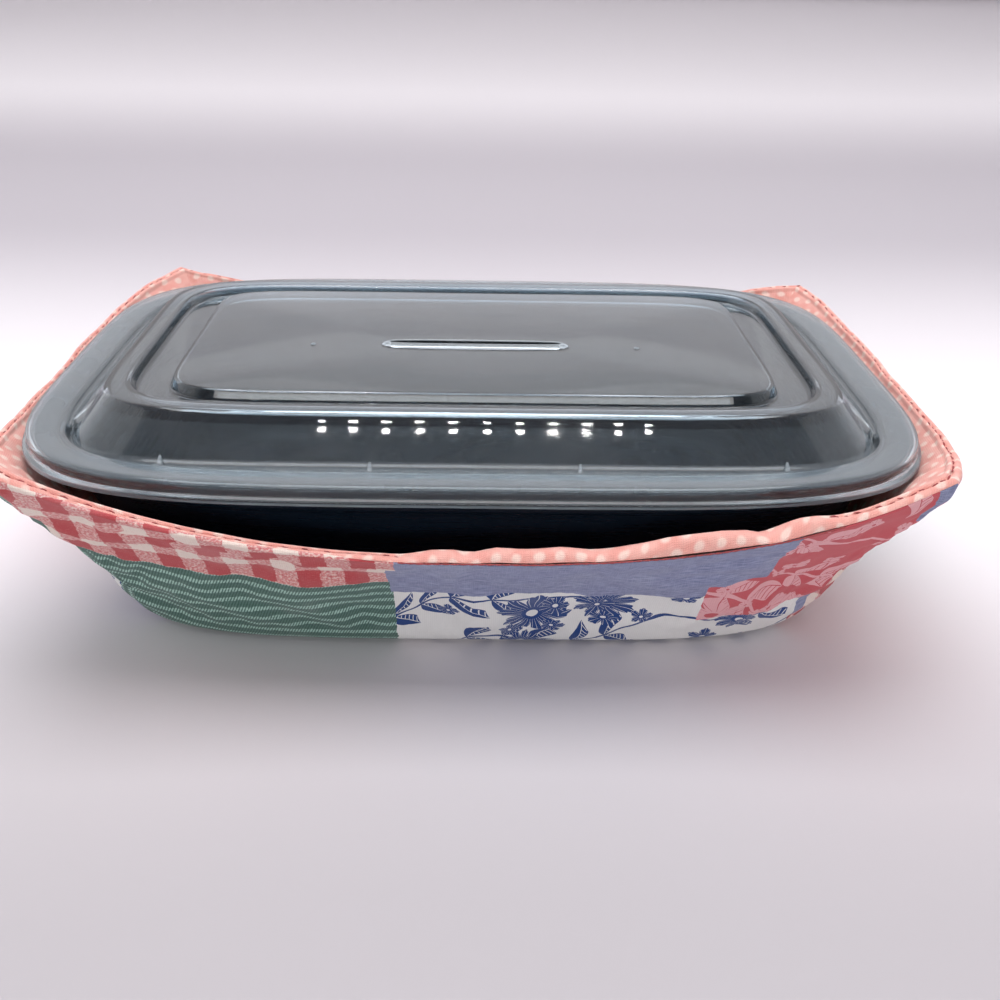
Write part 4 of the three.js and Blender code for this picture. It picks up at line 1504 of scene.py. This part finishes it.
class CONTAINER_OT_mould_lid(bpy.types.Operator):
    """Moulds the stepped translucent lid with its vent and fins"""

    bl_idname = "container.mould_lid"
    bl_label = "Mould the lid"

    def execute(self, context):
        settings = context.scene.container_settings
        places = stations(PLASTIC_STEPS)
        rings, radii = self.profile(places, settings)
        lid, _, _ = loft("lid_shell", rounded(rings, radii), loop=True)
        lid.data.materials.append(clear_plastic_material("Clear polypropylene", 0.985, 0.02, 0.05))
        # A paler, less clear copy of the same plastic for the rim's flat faces: painted light, so
        # the rim's top reads lighter than its front
        lid.data.materials.append(clear_plastic_material("Lit rim polypropylene", 0.90, 0.10, 0.18))
        milky = clear_plastic_material("Milky polypropylene", 0.72, 0.16, 0.26)
        lid.data.materials.append(milky)
        for face in lid.data.polygons:
            x, y, z = face.center
            by_vent = abs(y - VENT_MIDDLE) < 0.005 and abs(x) < settings.vent_length / 2 + 0.005
            on_bead = z > LID_TOP + PLATEAU_HEIGHT + 0.00008 and by_vent
            on_hem = z < LID_TOP - 0.0042
            # Flat faces of the rim take the paler copy, and its standing faces stay clear and dark:
            # painted light and shade by facing
            lit_rim_face = z < LID_TOP + 0.0003 and abs(face.normal.z) > 0.6
            face.material_index = 2 if on_bead or on_hem else int(lit_rim_face)
        details = [*self.fins(settings), *self.pips()]
        for detail in details:
            detail.data.materials.append(milky)
        lid = join([lid, *details], "lid_shell")
        smooth(lid, 50)
        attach(lid, "lid")
        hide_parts("container_lid")
        return {"FINISHED"}

    def profile(self, places, settings):
        """The rings of the whole skin, from the skirt's bottom edge over the top to the vent and
        back under, with the radius of the bend at each."""

        def rim(inward, rise, power=RIM_POWER):
            return level(places, RIM, -SKIRT_STEP - inward, LID_TOP + rise, power)

        def dome(outwards, rise, power=DOME_POWER):
            return level(places, DOME, outwards, LID_TOP + rise, power)

        def plateau(outwards, rise):
            return level(places, PLATEAU, outwards, LID_TOP + rise, PLATEAU_POWER)

        def padded(ring):
            x, y = np.abs(places[:, 0]), np.abs(places[:, 1])
            share = np.where(x == 1, 1 - smooth_between(y, 0.700, 0.716), 0)
            return raised(ring, 0.0016 * share)

        def slot(out, rise):
            size = (settings.vent_length / 2, settings.vent_width / 2)
            ring = level(places, size, out, LID_TOP + rise, 3.2)
            ring[:, 1] += VENT_MIDDLE
            return ring

        def top(drop):
            return [
                (rim(drop, -0.0020 - drop), 0.0007),
                (rim(drop, -drop), 0.0019),
                (rim(RIM_WIDTH - drop, -0.0007 - drop, RIM_INNER_POWER), 0.0009),
                (padded(rim(TROUGH_INSET - drop, -TROUGH - drop, RIM_INNER_POWER)), 0.0006),
                (padded(dome(DOME_FOOT - drop, -TROUGH - drop)), 0.0012),
                (dome(0.0006 - drop, RIDGE_HEIGHT - 0.0012 - drop), 0.0012),
                (dome(-0.0004 - drop, RIDGE_HEIGHT - drop), 0.0008),
                (dome(drop - 0.0056, RIDGE_HEIGHT - drop), 0.0007),
                (dome(drop - 0.0065, GROOVE_HEIGHT - drop), 0.0008),
                (plateau(0.0009 - drop, GROOVE_HEIGHT - drop), 0.0008),
                (plateau(-drop, PLATEAU_HEIGHT - drop), 0.0005),
            ]

        bead = [
            (slot(0.0034, PLATEAU_HEIGHT), 0.0006),
            (slot(0.0024, PLATEAU_HEIGHT), 0.0004),
            (slot(0.0013, PLATEAU_HEIGHT + 0.0008), 0.0004),
            (slot(0.0002, PLATEAU_HEIGHT + 0.0008), 0.0002),
            (slot(0.0, PLATEAU_HEIGHT - LID_SKIN), 0.0001),
            (slot(0.0016, PLATEAU_HEIGHT - LID_SKIN), 0.0),
        ]
        skirt = [
            (level(places, RIM, 0, LID_TOP - 0.0045, RIM_POWER), 0.00035),
            (level(places, RIM, 0, LID_TOP - 0.0034, RIM_POWER), 0.0004),
            (level(places, RIM, -0.0009, LID_TOP - 0.0029, RIM_POWER), 0.0002),
        ]
        hem = (rim(LID_SKIN, -0.0045), 0.0002)
        stack = [*skirt, *top(0), *bead, *top(LID_SKIN)[::-1], hem]
        return [ring for ring, _ in stack], [radius for _, radius in stack]

    def fins(self, settings):
        """Thin right triangles across the trough, tall on the side of the dome."""
        pieces = []
        inset = SKIRT_STEP + TROUGH_INSET
        foot = LID_TOP - TROUGH - FIN_ROOT
        for i in range(settings.fin_count):
            x = (i - (settings.fin_count - 1) / 2) * settings.fin_pitch
            across = abs(x) / (RIM[0] - inset)
            bow = (1 - across**RIM_INNER_POWER) ** (1 / RIM_INNER_POWER)
            for side in (-1, 1):
                y = side * bow * (RIM[1] - inset)
                nothing_selected()
                bpy.ops.mesh.primitive_cube_add(size=1)
                fin = bpy.context.object
                for vertex in fin.data.vertices:
                    a, b, c = vertex.co
                    inner, high = a > 0, c > 0
                    rise = FIN_ROOT + FIN_RISE if high and inner else 0.0002 if high else 0
                    vertex.co = (
                        x + b * FIN_THICKNESS * (0.3 if high and inner else 1),
                        y - side * (FIN_RUN if inner else -FIN_ROOT),
                        foot + rise,
                    )
                clean(fin)
                fin.select_set(True)
                bpy.ops.object.mode_set(mode="EDIT")
                bpy.ops.mesh.select_all(action="SELECT")
                bpy.ops.mesh.bevel(offset=0.00008, segments=1)
                bpy.ops.object.mode_set(mode="OBJECT")
                pieces.append(fin)
        return pieces

    def pips(self):
        """The two tiny moulding pips on the plateau."""
        pieces = []
        for x in PIPS:
            nothing_selected()
            bpy.ops.mesh.primitive_uv_sphere_add(
                segments=16, ring_count=8, radius=PIP_RADIUS, location=(0, 0, 0)
            )
            pip = bpy.context.object
            for vertex in pip.data.vertices:
                a, b, c = vertex.co
                vertex.co = (a + x, b + PIP_MIDDLE, c * 0.4 + LID_TOP + PLATEAU_HEIGHT)
            pieces.append(pip)
        return pieces


class STAGE_OT_set_stage(bpy.types.Operator):
    """Sets the floor, the backdrop, the lamps and the camera"""

    bl_idname = "stage.set_stage"
    bl_label = "Set the stage"

    def execute(self, context):
        settings = context.scene.stage_settings
        self.backdrop(settings)
        self.lamps(settings)
        self.world(settings)
        self.camera(context)
        context.scene.view_settings.view_transform = "Standard"
        return {"FINISHED"}

    def backdrop(self, settings):
        nothing_selected()
        bpy.ops.mesh.primitive_plane_add(size=9, location=(0, -1.1, 0))
        floor = bpy.context.object
        floor.name = floor.data.name = "studio_backdrop"
        bpy.ops.object.transform_apply(location=True)
        bpy.ops.object.mode_set(mode="EDIT")
        bpy.ops.mesh.select_mode(type="EDGE")
        bpy.ops.mesh.select_all(action="DESELECT")
        bpy.ops.object.mode_set(mode="OBJECT")
        for edge in floor.data.edges:
            edge.select = True
        bpy.ops.object.mode_set(mode="EDIT")
        bpy.ops.mesh.extrude_region_move(TRANSFORM_OT_translate={"value": (0, 0, 2.5)})
        bpy.ops.object.mode_set(mode="OBJECT")
        for edge in floor.data.edges:
            ends = [floor.data.vertices[v].co for v in edge.vertices]
            edge.select = min(p.z for p in ends) < 1e-4
        bpy.ops.object.mode_set(mode="EDIT")
        bpy.ops.mesh.bevel(offset=0.5, segments=24)
        bpy.ops.object.mode_set(mode="OBJECT")
        smooth(floor, 60)
        # The darker colour of the floor in front is painted shadow
        floor.data.materials.append(
            stage_material("Studio paper", (
                (-0.16, settings.near_shadow_colour), (0.04, settings.floor_colour), (
                    0.36, settings.backdrop_colour
                ),
                (0.52, settings.backdrop_colour), (0.95, settings.far_colour),
            ))
        )

    def lamp(self, name, place, target, size, power):
        nothing_selected()
        bpy.ops.object.light_add(type="AREA", location=place)
        lamp = bpy.context.object
        lamp.name = lamp.data.name = name
        lamp.data.shape = "RECTANGLE"
        lamp.data.size, lamp.data.size_y = size
        lamp.data.energy = power
        lamp.rotation_euler = (Vector(target) - Vector(place)).to_track_quat("-Z", "Y").to_euler()

    def panel(self, name, place, target, size, light):
        """A lamp of a given brightness, however large it is."""
        self.lamp(name, place, target, size, light * math.pi * size[0] * size[1])

    def lamps(self, settings):
        self.lamp("Lamp above", (0, 0.05, 1.10), (0, 0, 0), (1.1, 0.8), settings.lamp_power)
        self.lamp("Lamp in front", (0, -1.5, 0.42), (0, 0, 0.03), (1.8, 0.3), settings.front_power)
        for i, (low, high, share) in enumerate(BACK_PANELS):
            middle = (low + high) / 2
            self.panel(
                f"Panel behind {i}",
                (0, 2.85, middle),
                (0, 0, middle),
                (7.0, high - low),
                settings.back_light * share,
            )
        self.panel(
            "Panel on the left", (-1.3, 0.1, 0.85), (0, 0.1, 0.85), (2.4, 1.4), settings.side_light
        )
        self.panel(
            "Panel on the right",
            (1.3, 0.1, 0.85),
            (0, 0.1, 0.85),
            (2.4, 1.4),
            settings.side_light * 0.76,
        )
        for row, (y, z) in enumerate(STRIP_ROWS):
            for i in range(STRIP_LAMPS):
                x = (i - STRIP_LAMPS // 2 + 0.5 * row) * STRIP_GAP
                self.lamp(
                    f"Strip lamp {row} {i}",
                    (x, y, z),
                    (0, 0, 0.05),
                    (0.007, 0.0035),
                    settings.strip_power,
                )

    def world(self, settings):
        world = bpy.data.worlds.new("Studio light")
        bpy.context.scene.world = world
        world.use_nodes = True
        background = world.node_tree.nodes["Background"]
        background.inputs["Color"].default_value = (0.86, 0.94, 1.0, 1)
        background.inputs["Strength"].default_value = settings.world_strength

    def camera(self, context):
        """The camera that was fitted to the photograph: turned, tilted and rolled a little."""
        yaw, pitch, roll = (math.radians(a) for a in CAMERA_TURN)
        forward = Vector(
            (math.sin(yaw) * math.cos(pitch), math.cos(yaw) * math.cos(pitch), -math.sin(pitch))
        )
        level_right = Vector((math.cos(yaw), -math.sin(yaw), 0))
        upright = level_right.cross(forward)
        right = level_right * math.cos(roll) + upright * math.sin(roll)
        up = upright * math.cos(roll) - level_right * math.sin(roll)
        bpy.ops.object.camera_add()
        camera = bpy.context.object
        camera.name = camera.data.name = "Camera"
        turn = Matrix((right, up, -forward)).transposed().to_4x4()
        camera.matrix_world = Matrix.Translation(CAMERA_PLACE) @ turn
        camera.data.sensor_width = 36
        camera.data.lens = CAMERA_LENS
        camera.data.shift_x, camera.data.shift_y = CAMERA_SHIFT
        camera.data.clip_start = 0.01
        context.scene.camera = camera


class COZY_PT_panel(bpy.types.Panel):
    """Lists the steps of making the cozy and its container"""

    bl_idname = "COZY_PT_panel"
    bl_label = "Microwave container cozy"
    bl_space_type = "VIEW_3D"
    bl_region_type = "UI"
    bl_category = "Cozy"

    def draw(self, context):
        for settings in (
            context.scene.cozy_settings,
            context.scene.container_settings,
            context.scene.stage_settings,
        ):
            for name in settings.__annotations__:
                self.layout.prop(settings, name)
        for step in STEPS:
            self.layout.operator(step.bl_idname)


STEPS = (
    COZY_OT_sew_cover,
    COZY_OT_lay_wadding,
    COZY_OT_sew_lining,
    COZY_OT_stitch_edge,
    CONTAINER_OT_mould_tub,
    CONTAINER_OT_mould_lid,
    STAGE_OT_set_stage,
)
CLASSES = (CozySettings, ContainerSettings, StageSettings, *STEPS, COZY_PT_panel)


def register():
    for made in CLASSES:
        bpy.utils.register_class(made)
    bpy.types.Scene.cozy_settings = PointerProperty(type=CozySettings)
    bpy.types.Scene.container_settings = PointerProperty(type=ContainerSettings)
    bpy.types.Scene.stage_settings = PointerProperty(type=StageSettings)


def unregister():
    del bpy.types.Scene.cozy_settings
    del bpy.types.Scene.container_settings
    del bpy.types.Scene.stage_settings
    for made in reversed(CLASSES):
        bpy.utils.unregister_class(made)


def main():
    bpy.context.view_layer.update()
    register()
    bpy.ops.cozy.sew_cover()
    bpy.ops.cozy.lay_wadding()
    bpy.ops.cozy.sew_lining()
    bpy.ops.cozy.stitch_edge()
    bpy.ops.container.mould_tub()
    bpy.ops.container.mould_lid()
    bpy.ops.stage.set_stage()


if __name__ == "__main__":
    main()
